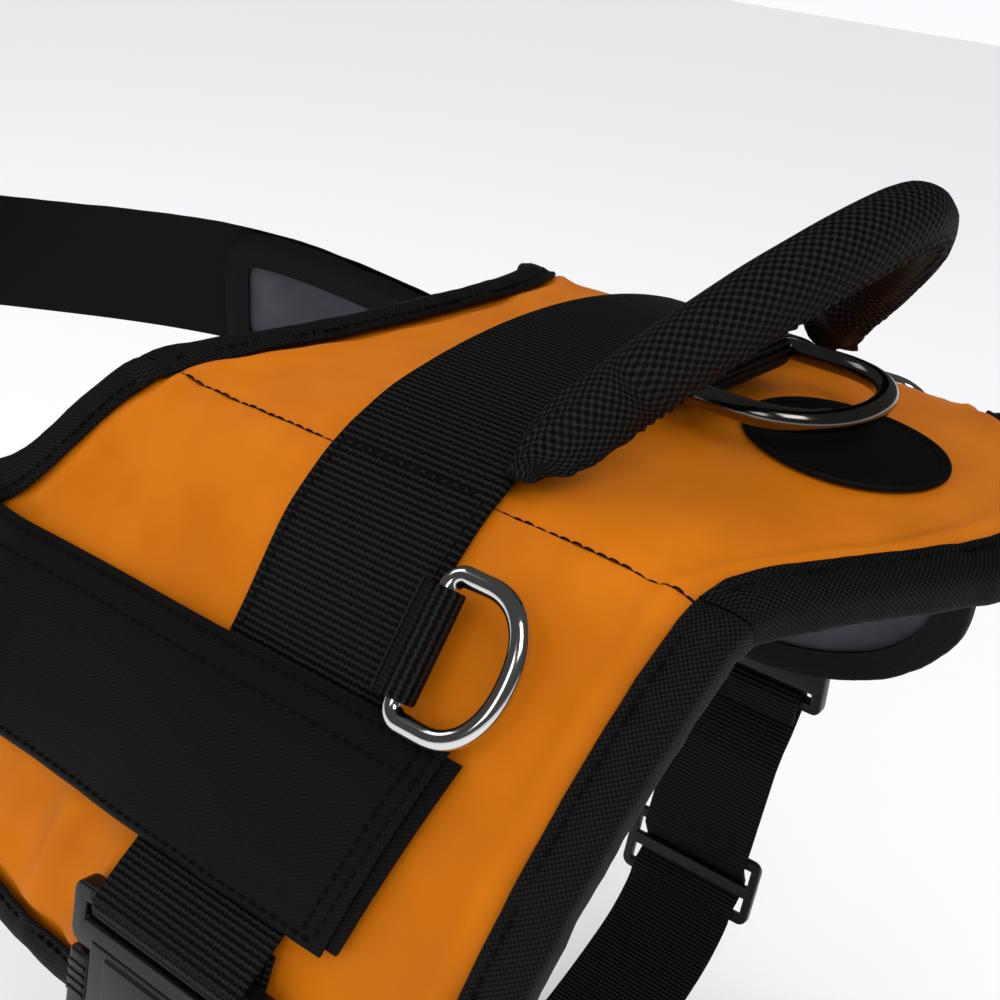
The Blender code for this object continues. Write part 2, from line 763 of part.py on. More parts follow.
def make_belly():
    """Belly strap from the left plug's bar, through both sliders, to the right plug's bar."""
    _, (bar_q, bar_n) = bar_places()
    hang = 0.5 * WEBBING
    half = list(reversed(hook_path(bar_q, bar_n, -1)))
    half.append((bar_q + 0.016, mix(hang, bar_n + LOOP_R, 0.45)))
    half.append((bar_q + 0.030, hang - 0.001))
    slider = place_frame(SLIDER_Q, drift(SLIDER_Q), 0.0)
    for a, height in ((-0.020, -1.0), (-SLIDER_SLOT[1] + 0.0004, -1.0), (-SLIDER_SLOT[0] - 0.0006, 1.0),
                      (SLIDER_SLOT[0] + 0.0006, 1.0), (SLIDER_SLOT[1] - 0.0004, -1.0), (0.016, -1.0)):
        point = slider @ Vector((a, 0.0, height * SLIDER_LIFT))
        half.append(pattern_place(point, SLIDER_Q + a))
    start_q = half[-1][0]
    steps = round((BELLY_Q - start_q) / WEB_STEP)
    for i in range(1, steps + 1):
        half.append((mix(start_q, BELLY_Q, i / steps), mix(half[-1][1], -hang, 0.4)))
    rings = []
    for side in (1, -1):
        part = []
        for i in range(len(half)):
            part.append(ribbon_ring(half, i, WEBBING, (-1, 1), lambda q, n, edge: webbing_place(side * q, n, edge)))
        rings += part if side == 1 else list(reversed(part[:-1]))
    loft("belly_strap", rings, "black_webbing")


def make_buckles():
    """Buckle halves and sliders of both sides."""
    half = BUCKLE_HALF
    bar_edge = BAR_AT + BAR_HALF
    slot = [(BAR_AT - BAR_HALF, -SLOT_HALF), (BAR_AT - BAR_HALF, SLOT_HALF), (SLOT_END, SLOT_HALF), (SLOT_END, -SLOT_HALF)]
    socket = [(-bar_edge, -half), (-ARM_TIP - 0.002, -half), (-ARM_TIP - 0.002, -ARM_IN), (SOCKET_END, -ARM_IN),
              (SOCKET_END, ARM_IN), (-ARM_TIP - 0.002, ARM_IN), (-ARM_TIP - 0.002, half), (-bar_edge, half)]
    free = ARM_IN + GAP
    foot = SOCKET_END + GAP
    plug = [(bar_edge, half), (-ARM_TIP, half), (-ARM_TIP, free), (foot, free),
            (foot, -free), (-ARM_TIP, -free), (-ARM_TIP, -half), (bar_edge, -half)]
    low, high = SLIDER_SLOT
    slider = [(-SLIDER_END, -SLIDER_HALF), (SLIDER_END, -SLIDER_HALF),
              (SLIDER_END, SLIDER_HALF), (-SLIDER_END, SLIDER_HALF)]
    slots = []
    for sign in (-1, 1):
        slots.append([(sign * low, -SLIDER_SLOT_HALF), (sign * high, -SLIDER_SLOT_HALF),
                      (sign * high, SLIDER_SLOT_HALF), (sign * low, SLIDER_SLOT_HALF)])
    for name, side in SIDES:
        frame = place_frame(side * BUCKLE_Q, drift(BUCKLE_Q), BUCKLE_N)
        upper_slot = [(-a, b) for a, b in slot]
        plate("buckle_socket_" + name, rounded(socket, 0.0025), [upper_slot], BUCKLE_THICK, frame, "buckle_plastic")
        plate("buckle_plug_" + name, rounded(plug, 0.0025), [slot], BUCKLE_THICK, frame, "buckle_plastic")
        frame = place_frame(side * SLIDER_Q, drift(SLIDER_Q), 0.0)
        plate("slider_" + name, rounded(slider, 0.0040), slots, SLIDER_THICK, frame, "buckle_plastic")


# Handle, rings and patch


def handle_line():
    """Stations of the handle from the left foot to the right one, each with its width direction."""
    foot_n = WEB_LIFT + WEBBING + 2.0 * GAP + 0.5 * TAB_THICK
    lean = Vector((0.0, math.sin(HANDLE_LEAN), math.cos(HANDLE_LEAN)))
    across = Vector((0.0, math.cos(HANDLE_LEAN), -math.sin(HANDLE_LEAN)))
    tail = Vector((0.0, 1.0, 0.0))
    foot = []
    for q in TAB_PLACES:
        foot.append((on_body(q, FOOT_Y, foot_n + arch(q)), tail))
    base = foot[-1][0]
    half = []
    for i in range(1, HANDLE_RINGS // 2 + 1):
        angle = math.pi * i / HANDLE_RINGS
        reach = HANDLE_SPAN * math.cos(angle) ** HANDLE_POWER
        rise = HANDLE_RISE * math.sin(angle) ** HANDLE_POWER
        half.append((Vector((reach, HANDLE_Y, base.z)) + lean * rise, across))
    line = foot + [(base.lerp(half[0][0], 0.55) + Vector((0.0022, 0.0, 0.0018)), 0.85 * tail + 0.15 * across)] + half
    mirror = Vector((-1.0, 1.0, 1.0))
    return line + [(point * mirror, way) for point, way in reversed(line[:-1])]


def make_handle():
    """Padded handle, round in the hand and flat where it is sewn to the webbing."""
    stations = handle_line()
    rings = []
    travelled = [0.0]
    for (here, _), (there, _) in zip(stations, stations[1:]):
        travelled.append(travelled[-1] + (there - here).length)
    for i, (point, width_way) in enumerate(stations):
        ahead = stations[min(i + 1, len(stations) - 1)][0]
        behind = stations[max(i - 1, 0)][0]
        run = (ahead - behind).normalized()
        thick_way = run.cross(width_way).normalized()
        width_way = thick_way.cross(run).normalized()
        from_end = min(travelled[i], travelled[-1] - travelled[i]) - TAB_PLACES[0] + TAB_PLACES[-1]
        roundness = ease(from_end / TAB_BLEND)
        tip = ease(min(travelled[i], travelled[-1] - travelled[i]) / (TAB_PLACES[0] - TAB_PLACES[-1]))
        half = mix(mix(TAB_TIP, TAB_HALF, tip), HANDLE_R, roundness)
        thick = mix(0.5 * TAB_THICK, HANDLE_R, roundness)
        ring = []
        for j in range(HANDLE_SIDES):
            angle = 2.0 * math.pi * j / HANDLE_SIDES
            ring.append(point + width_way * half * math.cos(angle) + thick_way * thick * math.sin(angle))
        rings.append(ring)
    loft("handle", rings, "black_cover", 50.0)


def ring_line(half, depth, corner):
    """Middle line of a ring: a bar across, two short legs and a half round bow, as u and v."""
    leg = depth * 0.42
    points = []
    for side, turn in ((-1, 1), (1, -1)):
        arc = []
        for k in range(4):
            angle = math.radians(30.0 * k)
            arc.append((side * (half - corner * (1.0 - math.sin(angle))), corner * (1.0 - math.cos(angle))))
        points.append(arc if side == 1 else list(reversed(arc)))
    bow = []
    for k in range(RING_POINTS + 1):
        angle = math.pi * k / RING_POINTS
        reach = math.copysign(abs(math.cos(angle)) ** 0.9, math.cos(angle))
        bow.append((half * reach, leg + (depth - leg) * math.sin(angle) ** 0.9))
    return points[0] + points[1] + bow


def make_ring(name, ring, place, along, finish):
    """Ring of bent wire whose bar is the joint's axis; its origin is on that axis."""
    curve = bpy.data.curves.new(name, "CURVE")
    curve.dimensions = "3D"
    curve.bevel_depth = ring["wire"]
    curve.bevel_resolution = 2
    frame = place_frame(*place)
    line = ring_line(ring["half"], ring["depth"], ring["corner"])
    spline = curve.splines.new("POLY")
    spline.points.add(len(line) - 1)
    for point, (u, v) in zip(spline.points, line):
        point.co = (u, v, 0.0, 1.0)
    spline.use_cyclic_u = True
    thing = add_object(name, curve, finish)
    if along == "across":
        thing.matrix_world = Matrix.Translation(frame.translation)
    else:
        thing.matrix_world = frame
    return thing


def tape_path(place, wire, tail_low, tail_high, low_angle, high_angle, knee_y):
    """Middle line of a tape in y and n: under tail, round the bar, upper tail."""
    _, bar_y, bar_n = place
    radius = wire + GAP + 0.5 * TAPE
    points = [(TAPE_TAIL_Y, tail_low), (0.55 * bar_y, tail_low)]
    for k in range(TAPE_TURNS + 1):
        angle = math.radians(mix(low_angle, high_angle, k / TAPE_TURNS))
        points.append((bar_y + radius * math.cos(angle), bar_n + radius * math.sin(angle)))
    points.append((knee_y, tail_high + 0.0005))
    points.append((TAPE_TAIL_Y, tail_high))
    return points


def make_tape(name, place, half, path, slack):
    """Tape round a ring's bar: true to the bar at the ring and to the body at its tails."""
    frame = place_frame(*place)
    centre, bar_y, bar_n = place

    def tape_place(y, n, edge):
        q = centre + edge * half
        soft = on_body(q, y, n + slack(q) - slack(centre))
        firm = frame @ Vector((edge * half * (1.0 if centre >= 0.0 else -1.0), y - bar_y, n - bar_n))
        return soft.lerp(firm, ease((y - TAPE_TAIL_Y) / (0.55 * bar_y - TAPE_TAIL_Y)))

    rings = [ribbon_ring(path, i, TAPE, TAPE_EDGES, tape_place) for i in range(len(path))]
    loft(name, rings, "black_webbing")


def make_rings():
    """Leash ring on the back, two rings on the flanks, and the tapes that hold them."""
    make_ring("ring_top", TOP_RING, TOP_RING_PLACE, "across", "dark_nickel")
    under = WEB_LIFT + WEB_ARCH - TAPE_SINK - 0.5 * TAPE
    path = tape_path(TOP_RING_PLACE, TOP_RING["wire"], under - TAPE - GAP, under, -115.0, 192.0, TOP_KNEE_Y)
    make_tape("tape_top", TOP_RING_PLACE, TOP_TAPE_HALF, path, arch)
    over = WEB_LIFT + WEBBING + GAP + 0.5 * TAPE
    path = tape_path(SIDE_RING_PLACE, SIDE_RING["wire"], over, over + TAPE + GAP, -120.0, 125.0, SIDE_KNEE_Y)
    for name, side in SIDES:
        place = (side * SIDE_RING_PLACE[0], SIDE_RING_PLACE[1], SIDE_RING_PLACE[2])
        make_ring("ring_" + name, SIDE_RING, place, "down", "bright_nickel")
        make_tape("tape_" + name, place, SIDE_TAPE_HALF, path, lambda q: 0.0)


def make_patch():
    """Blank round patch with a raised rim."""
    top = WEB_LIFT + PATCH_THICK
    rim = PATCH_R - PATCH_RIM
    profile = (
        # radius, height
        (0.15 * PATCH_R, WEB_LIFT),
        (0.60 * PATCH_R, WEB_LIFT),
        (PATCH_R, WEB_LIFT),
        (PATCH_R, top + 0.4 * PATCH_RIM),
        (rim, top + PATCH_RIM),
        (rim - PATCH_RIM, top + 0.4 * PATCH_RIM),
        (rim - 1.5 * PATCH_RIM, top),
        (0.60 * PATCH_R, top),
        (0.15 * PATCH_R, top),
    )
    rings = []
    for radius, height in profile:
        ring = []
        for i in range(PATCH_SIDES):
            angle = 2.0 * math.pi * i / PATCH_SIDES
            ring.append(on_body(radius * math.cos(angle), PATCH_Y + radius * math.sin(angle), height))
        rings.append(ring)
    loft("patch", rings, "patch_rubber")


harness = start()
make_saddle()
make_bindings()
make_straps()
make_buckles()
make_handle()
make_rings()
make_patch()
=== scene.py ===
"""Looks of a padded dog harness: sewn panels, bindings, webbing, handle, rings, buckles and stitches.

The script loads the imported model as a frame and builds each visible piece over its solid.
A cloth piece is drawn as a flat pattern first. A place in the pattern is q, y and n: q runs over the
cloth from the spine down the flank (negative on the right side), y runs towards the tail, and n is
the height over the saddle's outer face. The function on_body bends the pattern into the worn form.
"""
import json
import math

import bmesh
import bpy
from mathutils import Matrix, Vector, noise

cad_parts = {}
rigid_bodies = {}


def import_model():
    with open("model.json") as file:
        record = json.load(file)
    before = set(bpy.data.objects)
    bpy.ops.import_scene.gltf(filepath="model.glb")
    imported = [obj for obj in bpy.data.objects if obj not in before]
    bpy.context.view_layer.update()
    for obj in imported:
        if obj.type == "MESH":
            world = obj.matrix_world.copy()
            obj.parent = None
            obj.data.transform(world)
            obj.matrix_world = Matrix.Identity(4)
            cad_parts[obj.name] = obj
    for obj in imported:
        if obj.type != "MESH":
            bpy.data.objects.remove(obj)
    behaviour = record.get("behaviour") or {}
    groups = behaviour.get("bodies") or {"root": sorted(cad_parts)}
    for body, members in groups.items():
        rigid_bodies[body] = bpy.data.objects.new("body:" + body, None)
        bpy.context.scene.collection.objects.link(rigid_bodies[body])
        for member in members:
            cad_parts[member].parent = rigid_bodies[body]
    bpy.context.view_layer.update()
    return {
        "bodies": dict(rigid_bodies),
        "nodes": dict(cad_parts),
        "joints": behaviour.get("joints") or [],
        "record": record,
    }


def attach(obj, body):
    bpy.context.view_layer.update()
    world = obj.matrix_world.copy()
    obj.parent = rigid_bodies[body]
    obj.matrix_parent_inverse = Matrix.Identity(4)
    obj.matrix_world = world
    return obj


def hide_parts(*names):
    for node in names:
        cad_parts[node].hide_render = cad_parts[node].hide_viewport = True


# Saddle cloth and its bindings, in metres
PAD = 0.009
PAD_EDGE = 0.005
PAD_CREASE = 0.0062
PAD_FLAT = 0.0135
PAD_SLOPE = 0.016
PUFF = 0.002
PUFF_REACH = 0.022
PUFF_END = 0.030
SHELL = 0.0020
GAP = 0.0003
HALF_TOP = 0.086
SEAM_HALF = 0.0002
BACK = PAD - PUFF
LEAF = 0.010
BIND = 0.0016
BIND_OUT = GAP + BIND
HEM_FRONT = -0.0860
HEM_REAR = 0.0745
BINDING_INSET = 0.0076      # from the cut edge to the binding's stitches
BINDING_LEAF = (
    # distance from the cut edge, height over the saddle
    (LEAF + 0.0004, 0.0008),
    (LEAF + 0.0006, 0.0015),
    (LEAF, 0.0021),
    (0.0085, 0.0017),
    (0.0070, 0.0022),
    (0.0045, 0.0025),
    (0.0020, 0.0026),
)
BINDING_UNDER = (
    # distance from the cut edge, height from the lining's underside
    (0.0015, -0.0022),
    (0.0040, -0.0024),
    (0.0085, -0.0024),
    (LEAF, -0.0026),
    (LEAF, -0.0012),
    (0.0040, -0.0005),
    (-GAP, -GAP),
)
TOP_BINDING_STEPS = 70
SHOW_REACH = 0.008          # from a covered place to one that shows in full

SECTION = (
    # stretch, end_q, end_angle
    ("back", 0.079, 8.0),
    ("crease", 0.093, 49.2),
    ("flank", 0.241, 86.0),
    ("drop", 0.352, 99.0),
    ("corner", 0.392, 150.0),
)
STEP = 0.0005
DROP_FROM = 0.042
DROP_SLOPE = 0.078
DROP_EASE = 0.010
BEND_Y = -0.095
CHEST_Q = 0.1625
CHEST_PATH = (
    # stretch, length, turn towards the middle
    ("shoulder", 0.070, 15.0),
    ("arm", 0.100, 1.0),
    ("side", 0.105, 5.0),
)
CHEST_RISE = 0.016
CHEST_RISE_AT = 0.150
CHEST_DROP = 0.012
CHEST_LEAN = math.radians(17.0)
TOP_EDGE = (
    # q, front_y, rear_y
    (0.000, -0.0695, 0.1230),
    (0.015, -0.0698, 0.1215),
    (0.030, -0.0715, 0.1165),
    (0.046, -0.0750, 0.1085),
    (0.060, -0.0800, 0.1000),
    (0.072, -0.0865, 0.0920),
    (0.080, -0.0925, 0.0865),
    (0.086, -0.0965, 0.0835),
)
SIDE_EDGE = (
    # upper_q, upper_y, lower_q, lower_y
    (0.086, 0.0835, 0.1980, 0.0700),
    (0.086, 0.0720, 0.2110, 0.0620),
    (0.086, 0.0600, 0.2230, 0.0520),
    (0.086, 0.0430, 0.2320, 0.0370),
    (0.086, 0.0230, 0.2385, 0.0180),
    (0.086, 0.0010, 0.2415, -0.0030),
    (0.086, -0.0220, 0.2425, -0.0260),
    (0.086, -0.0450, 0.2425, -0.0480),
    (0.086, -0.0700, 0.2405, -0.0700),
    (0.086, -0.0965, 0.2340, -0.0880),
    (0.098, -0.1025, 0.2250, -0.1010),
    (0.112, -0.1095, 0.2160, -0.1140),
    (0.125, -0.1175, 0.2070, -0.1280),
    (0.133, -0.1300, 0.1985, -0.1450),
    (0.1370, -0.1520, 0.1930, -0.1650),
    (0.1380, -0.1820, 0.1905, -0.1850),
    (0.1380, -0.2180, 0.1900, -0.2180),
    (0.1380, -0.2540, 0.1900, -0.2540),
)
CORNER_ROW = 9
OUTLINE_STEP = 0.0028
EASING_ROUNDS = 8
TOP_ROWS = 84
TOP_COLUMNS = 72
SIDE_ROWS = 150
SIDE_COLUMNS = 60
ARM_ROUND = 0.010           # rounding of the arm's end

# Webbing and straps
WEBBING = 0.0018
WEB_HALF = 0.024
WEB_LIFT = 0.0004
WEB_ARCH = 0.0085
WEB_DRIFT = (
    # q, y of the webbing's middle
    (0.000, -0.0028),
    (0.105, -0.0028),
    (0.135, -0.0020),
    (0.190, -0.0070),
    (0.245, -0.009),
    (0.352, -0.012),
    (0.500, -0.014),
)
WEB_COLUMNS = (0.0, 0.012, 0.024, 0.036, 0.048, 0.058, 0.066, 0.072, 0.078, 0.084, 0.090, 0.097)
WEB_STEP = 0.009
WEB_YARN = 0.0012
RIBBON_EDGE = (
    # share of the half width, share of the half thickness
    (-1.0, 0.45), (-0.985, 0.85), (-0.94, 1.0), (-0.6, 1.0), (-0.2, 1.0),
    (0.2, 1.0), (0.6, 1.0), (0.94, 1.0), (0.985, 0.85), (1.0, 0.45),
)
PLY = 0.0011
PLY_PAST = 0.0032
PLY_INSET = 0.0018
STRIP_END = ((0.1365, 0.0415), (0.1885, 0.0290))    # q and y of the strap's two rear corners
STRIP_FRONT = -0.102
ARM_LIFT = 0.0034
STRAP_STITCHES = (0.0024, 0.0086)

# Handle
HANDLE_SPAN = 0.065
HANDLE_Y = 0.0240
HANDLE_RISE = 0.068
HANDLE_LEAN = math.radians(39.5)
HANDLE_POWER = 1.16
HANDLE_R = 0.0085
TAB_PLACES = (0.0815, 0.0750, 0.0690)
TAB_HALF = 0.0084
TAB_TIP = 0.0034
FOOT_Y = 0.0240
TAB_THICK = 0.0050
TAB_BLEND = 0.020
HANDLE_GATHER = 0.0027
HANDLE_SIDES = 40

# Rings, measured on the wire's middle line, and the tapes that hold them
TOP_RING = {"half": 0.0282, "depth": 0.0385, "wire": 0.0030, "corner": 0.0040}
TOP_RING_PLACE = (0.0, 0.0310, 0.0095)              # q, y, n of the bar
SIDE_RING = {"half": 0.0166, "depth": 0.0222, "wire": 0.0024, "corner": 0.0035}
SIDE_RING_PLACE = (0.1198, 0.0272, 0.0085)
TAPE = 0.0015
TOP_TAPE_HALF = 0.0240
SIDE_TAPE_HALF = 0.0128
TAPE_TAIL_Y = 0.006
SIDE_TAIL_Y = 0.0180
TAPE_SINK = 0.0020
TOP_KNEE_Y = 0.0256
SIDE_KNEE_Y = 0.0205

# Round patch
PATCH_Y = 0.0646
PATCH_R = 0.0262
PATCH_THICK = 0.0012
PATCH_RIM = (
    # share of the radius, height over the face
    (1.0, -0.0002), (0.99, 0.0003), (0.97, 0.0005), (0.95, 0.0003), (0.94, 0.0), (0.90, 0.0),
    (0.885, -0.0002),
)
PATCH_SIDES = 96

# Buckles and sliders, in their own plane: a runs down, b runs towards the tail
BUCKLE_Q = 0.2330
BUCKLE_N = 0.0062
BUCKLE_HALF = 0.0320
BUCKLE_THICK = 0.0056
BUCKLE_CORNER = 0.0035
BAR_AT = 0.0290
BAR_HALF = 0.0023
SLOT_HALF = 0.0272
SLOT_END = 0.0222
ARM_IN = 0.0246
ARM_TIP = 0.0120
SOCKET_END = 0.0080
LOOP_R = 0.0041
LOOP_TAIL = 0.0090
SLIDER_Q = 0.3490
SLIDER_HALF = 0.0305
SLIDER_THICK = 0.0030
SLIDER_END = 0.0145
SLIDER_SLOT = (0.0025, 0.0105)
SLIDER_SLOT_HALF = 0.0268
SLIDER_LIFT = 0.0028
SLIDER_CORNER = 0.004

# Stitches
THREAD_R = 0.00042
STITCH = 0.0026
STITCH_PITCH = 0.0032
CREASE_ROW = HALF_TOP - 0.0001
STITCH_ANGLES = [math.radians(60 * k) for k in range(6)]
STITCH_LIFT = (-0.00045, -0.00005, 0.00008, 0.00008, -0.00005, -0.00045)

# Camera, floor and lights
CAMERA_AZIMUTH = 2.1667
CAMERA_ELEVATION = 0.4185
CAMERA_ROLL = 0.1247
CAMERA_DISTANCE = 0.3539
CAMERA_TARGET = Vector((0.0536, 0.0, -0.0153))
CAMERA_LENS = 50.88
SENSOR = 36.0
FLOOR_Z = -0.322
FLOOR_SIZE = 12.0
FLOOR_COLOUR = (0.93, 0.93, 0.93)
LIGHTS = (
    # name, place, aim, size, power, colour
    ("key light", (0.60, 0.85, 1.20), (0.0, 0.0, 0.0), 0.7, 7.5, (1.0, 0.985, 0.96)),
    ("side light", (1.50, 0.10, 0.75), (0.1, 0.0, -0.05), 0.6, 3.0, (0.97, 0.985, 1.0)),
    ("front light", (0.30, -1.30, 1.20), (0.0, 0.0, 0.0), 0.8, 3.5, (1.0, 1.0, 1.0)),
)
SKY_COLOUR = (0.96, 0.975, 1.0)
SKY_STRENGTH = 0.95
SKY_SEEN = 0.05             # added where the camera sees the sky
SKY_MIRRORED = -0.88        # added where a glossy face mirrors it

SIDES = (("left", 1), ("right", -1))


def ease(t):
    """Smooth step from 0 to 1."""
    t = min(max(t, 0.0), 1.0)
    return t * t * (3.0 - 2.0 * t)


def mix(a, b, share):
    """Value between a and b."""
    return a + (b - a) * share


def read_table(rows, x, column=1):
    """Value of a column at x, with straight lines between the rows."""
    if x <= rows[0][0]:
        return rows[0][column]
    for low, high in zip(rows, rows[1:]):
        if x <= high[0]:
            return mix(low[column], high[column], (x - low[0]) / (high[0] - low[0]))
    return rows[-1][column]


def spline(p0, p1, p2, p3, f):
    """Smooth curve from p1 to p2."""
    return p1 + 0.5 * f * (p2 - p0 + f * (2 * p0 - 5 * p1 + 4 * p2 - p3 + f * (3 * (p1 - p2) + p3 - p0)))


def smooth_column(rows, column, t):
    """Value of a table column at the row number t, on a smooth curve through the rows."""
    i = min(int(t), len(rows) - 2)
    values = [rows[k][column] for k in (abs(i - 1), i, i + 1, min(i + 2, len(rows) - 1))]
    return spline(*values, t - i)


def row_number(rows, x):
    """Row number of x in the first column."""
    for i, (low, high) in enumerate(zip(rows, rows[1:])):
        if x <= high[0]:
            return i + max(x - low[0], 0.0) / (high[0] - low[0])
    return len(rows) - 1.0


def smooth_path(points, parts):
    """Path through the points with each stretch cut into parts."""
    vectors = [Vector(point) for point in points]
    path = []
    for i in range(len(vectors) - 1):
        around = [vectors[k] for k in (max(i - 1, 0), i, i + 1, min(i + 2, len(vectors) - 1))]
        for k in range(parts):
            path.append(spline(*around, k / parts))
    path.append(vectors[-1])
    return path


def run_along(points):
    """Distance of each point from the first one, measured along the line."""
    run = [0.0]
    for here, there in zip(points, points[1:]):
        run.append(run[-1] + (there - here).length)
    return run


def direction(points, i):
    """Direction of a line at its point number i."""
    return (points[min(i + 1, len(points) - 1)] - points[max(i - 1, 0)]).normalized()


def fade(distance, reach):
    """Share that dies away over a distance."""
    return math.exp(-distance / reach)


def hump(distance, reach):
    """Share of a rounded hump, 1 at its middle."""
    return math.exp(-(distance / reach) ** 2)


# Worn form


def walk_section():
    """Places x, z and angle along the section, one every step, up to the middle of the belly."""
    rows = [(0.0, 0.0)]
    for _, end_q, end_angle in SECTION:
        rows.append((end_q, math.radians(end_angle)))
    places = [(0.0, 0.0, 0.0)]
    x = 0.0
    z = 0.0
    q = 0.0
    last_q, last_angle = rows[-1]
    while q < last_q - 0.5 * STEP:
        angle = read_table(rows, q + 0.5 * STEP)
        x += math.cos(angle) * STEP
        z -= math.sin(angle) * STEP
        q += STEP
        places.append((x, z, read_table(rows, q)))
    length = x * (math.pi - last_angle) / math.sin(last_angle)
    steps = round(length / STEP)
    for i in range(steps):
        angle = mix(last_angle, math.pi, (i + 0.5) / steps)
        x += math.cos(angle) * length / steps
        z -= math.sin(angle) * length / steps
        places.append((x, z, mix(last_angle, math.pi, (i + 1) / steps)))
    return places


SECTION_PLACES = walk_section()
BELLY_Q = (len(SECTION_PLACES) - 1) * STEP


def section(q):
    """Place x, z and downward angle of the cloth at q on the left side."""
    place = min(max(q / STEP, 0.0), len(SECTION_PLACES) - 1.0)
    i = min(int(place), len(SECTION_PLACES) - 2)
    share = place - i
    return [mix(a, b, share) for a, b in zip(SECTION_PLACES[i], SECTION_PLACES[i + 1])]


def walk_chest():
    """Places x, y and heading of the chest strap from the shoulder to the middle of the chest."""
    x = section(CHEST_Q)[0]
    y = BEND_Y
    heading = 0.0
    places = [(x, y, heading)]
    stretches = [(length, math.radians(turn)) for _, length, turn in CHEST_PATH]
    last_heading = sum(turn for _, turn in stretches)
    stretches.append((None, 0.5 * math.pi - last_heading))
    for length, turn in stretches:
        if length is None:
            length = x / math.cos(heading) * turn
        steps = round(length / STEP)
        for _ in range(steps):
            heading += 0.5 * turn / steps
            x -= math.sin(heading) * length / steps
            y -= math.cos(heading) * length / steps
            heading += 0.5 * turn / steps
            places.append((x, y, heading))
    return places


CHEST_PLACES = walk_chest()
CHEST_LENGTH = (len(CHEST_PLACES) - 1) * STEP


def puff(q, y):
    """How far the shell stands up at a place: nothing at the crease and at the lower edge."""
    q = abs(q)
    from_crease = ease(abs(q - HALF_TOP) / PUFF_REACH)
    from_hem = ease((SIDE_EDGE[6][2] - q) / PUFF_REACH)
    from_shoulder = ease((y - BEND_Y + PUFF_END) / PUFF_END)
    return PUFF * from_crease * from_hem * from_shoulder


def rear_drop(y):
    """How far the back falls away towards the tail."""
    past = max(y - DROP_FROM, 0.0)
    return DROP_SLOPE * past * past / (past + DROP_EASE)


def on_body(q, y, n):
    """Point of the worn form over the pattern place q, y at the height n."""
    side = 1.0 if q >= 0.0 else -1.0
    x, z, angle = section(abs(q))
    n += puff(q, y)
    if y >= BEND_Y:
        up = z + n * math.cos(angle) + BACK - rear_drop(y)
        return Vector((side * (x + n * math.sin(angle)), y, up))
    forward = BEND_Y - y
    step = min(forward / STEP, len(CHEST_PLACES) - 1.0)
    i = min(int(step), len(CHEST_PLACES) - 2)
    path_x, path_y, heading = [mix(a, b, step - i) for a, b in zip(CHEST_PLACES[i], CHEST_PLACES[i + 1])]
    mid_x, mid_z, _ = section(CHEST_Q)
    lean = CHEST_LEAN * ease(forward / CHEST_RISE_AT)
    out = x - mid_x + n * math.sin(angle)
    up = z - mid_z + n * math.cos(angle)
    out, up = out * math.cos(lean) + up * math.sin(lean), up * math.cos(lean) - out * math.sin(lean)
    rise = CHEST_RISE * ease(forward / CHEST_RISE_AT)
    rise -= CHEST_DROP * ease((forward - CHEST_RISE_AT) / (CHEST_LENGTH - CHEST_RISE_AT))
    point_x = path_x + out * math.cos(heading)
    point_y = path_y - out * math.sin(heading)
    return Vector((side * point_x, point_y, mid_z + up + rise + BACK))


def place_frame(q, y, n):
    """Rigid frame at a pattern place: columns are down the cloth, towards the tail, and outwards."""
    side = 1.0 if q >= 0.0 else -1.0
    angle = section(abs(q))[2]
    down = Vector((side * math.cos(angle), 0.0, -math.sin(angle)))
    tail = Vector((0.0, 1.0, 0.0))
    out = Vector((side * math.sin(angle), 0.0, math.cos(angle)))
    frame = Matrix((down, tail, out)).transposed().to_4x4()
    frame.translation = on_body(q, y, n)
    return frame


def pattern_place(point, q):
    """Pattern place q and n of a point of the left side, found from a nearby q."""
    n = 0.0
    for _ in range(12):
        x, z, angle = section(q)
        away_x = point.x - x
        away_z = point.z - BACK - z
        q += away_x * math.cos(angle) - away_z * math.sin(angle)
        n = away_x * math.sin(angle) + away_z * math.cos(angle)
    return q, n - puff(q, point.y)


def drift(q):
    """Middle of the girth and belly webbing at q."""
    return smooth_column(WEB_DRIFT, 1, row_number(WEB_DRIFT, abs(q)))


def arch(q):
    """Slack of the girth webbing over the back."""
    share = min(abs(q) / HALF_TOP, 1.0)
    return WEB_ARCH * (1.0 - share * share)


# Cut edges and folds


def side_edge(t):
    """Both ends of the mesh line number t of a side panel: upper q, y and lower q, y."""
    upper_q, upper_y, lower_q, lower_y = [smooth_column(SIDE_EDGE, column, t) for column in range(4)]
    if t <= CORNER_ROW:
        upper_q = HALF_TOP + SEAM_HALF
        upper_y = mix(SIDE_EDGE[0][1], SIDE_EDGE[CORNER_ROW][1], t / CORNER_ROW)
    past = ARM_ROUND - (upper_y - SIDE_EDGE[-1][1])
    if past > 0.0:
        cut = ARM_ROUND - math.sqrt(max(ARM_ROUND ** 2 - past ** 2, 0.0))
        upper_q += cut
        lower_q -= cut
    return max(upper_q, HALF_TOP + SEAM_HALF), upper_y, lower_q, lower_y


def top_edge(q, column):
    """Front edge (column 1) or rear edge (column 2) of the top panel at q."""
    return smooth_column(TOP_EDGE, column, row_number(TOP_EDGE, abs(q)))


def rounded_outline():
    """Cut edge of a side panel from the front of the crease round the arm to the tail corner."""
    last = len(SIDE_EDGE) - 1
    fine = 10
    upper = [side_edge(CORNER_ROW + i / fine)[:2] for i in range((last - CORNER_ROW) * fine + 1)]
    lower = [side_edge(i / fine)[2:] for i in range(last * fine, -1, -1)]
    rear = straight(*lower[-1], HALF_TOP + SEAM_HALF, SIDE_EDGE[0][1], 30)
    return even_line(upper + lower + rear[1:], OUTLINE_STEP)


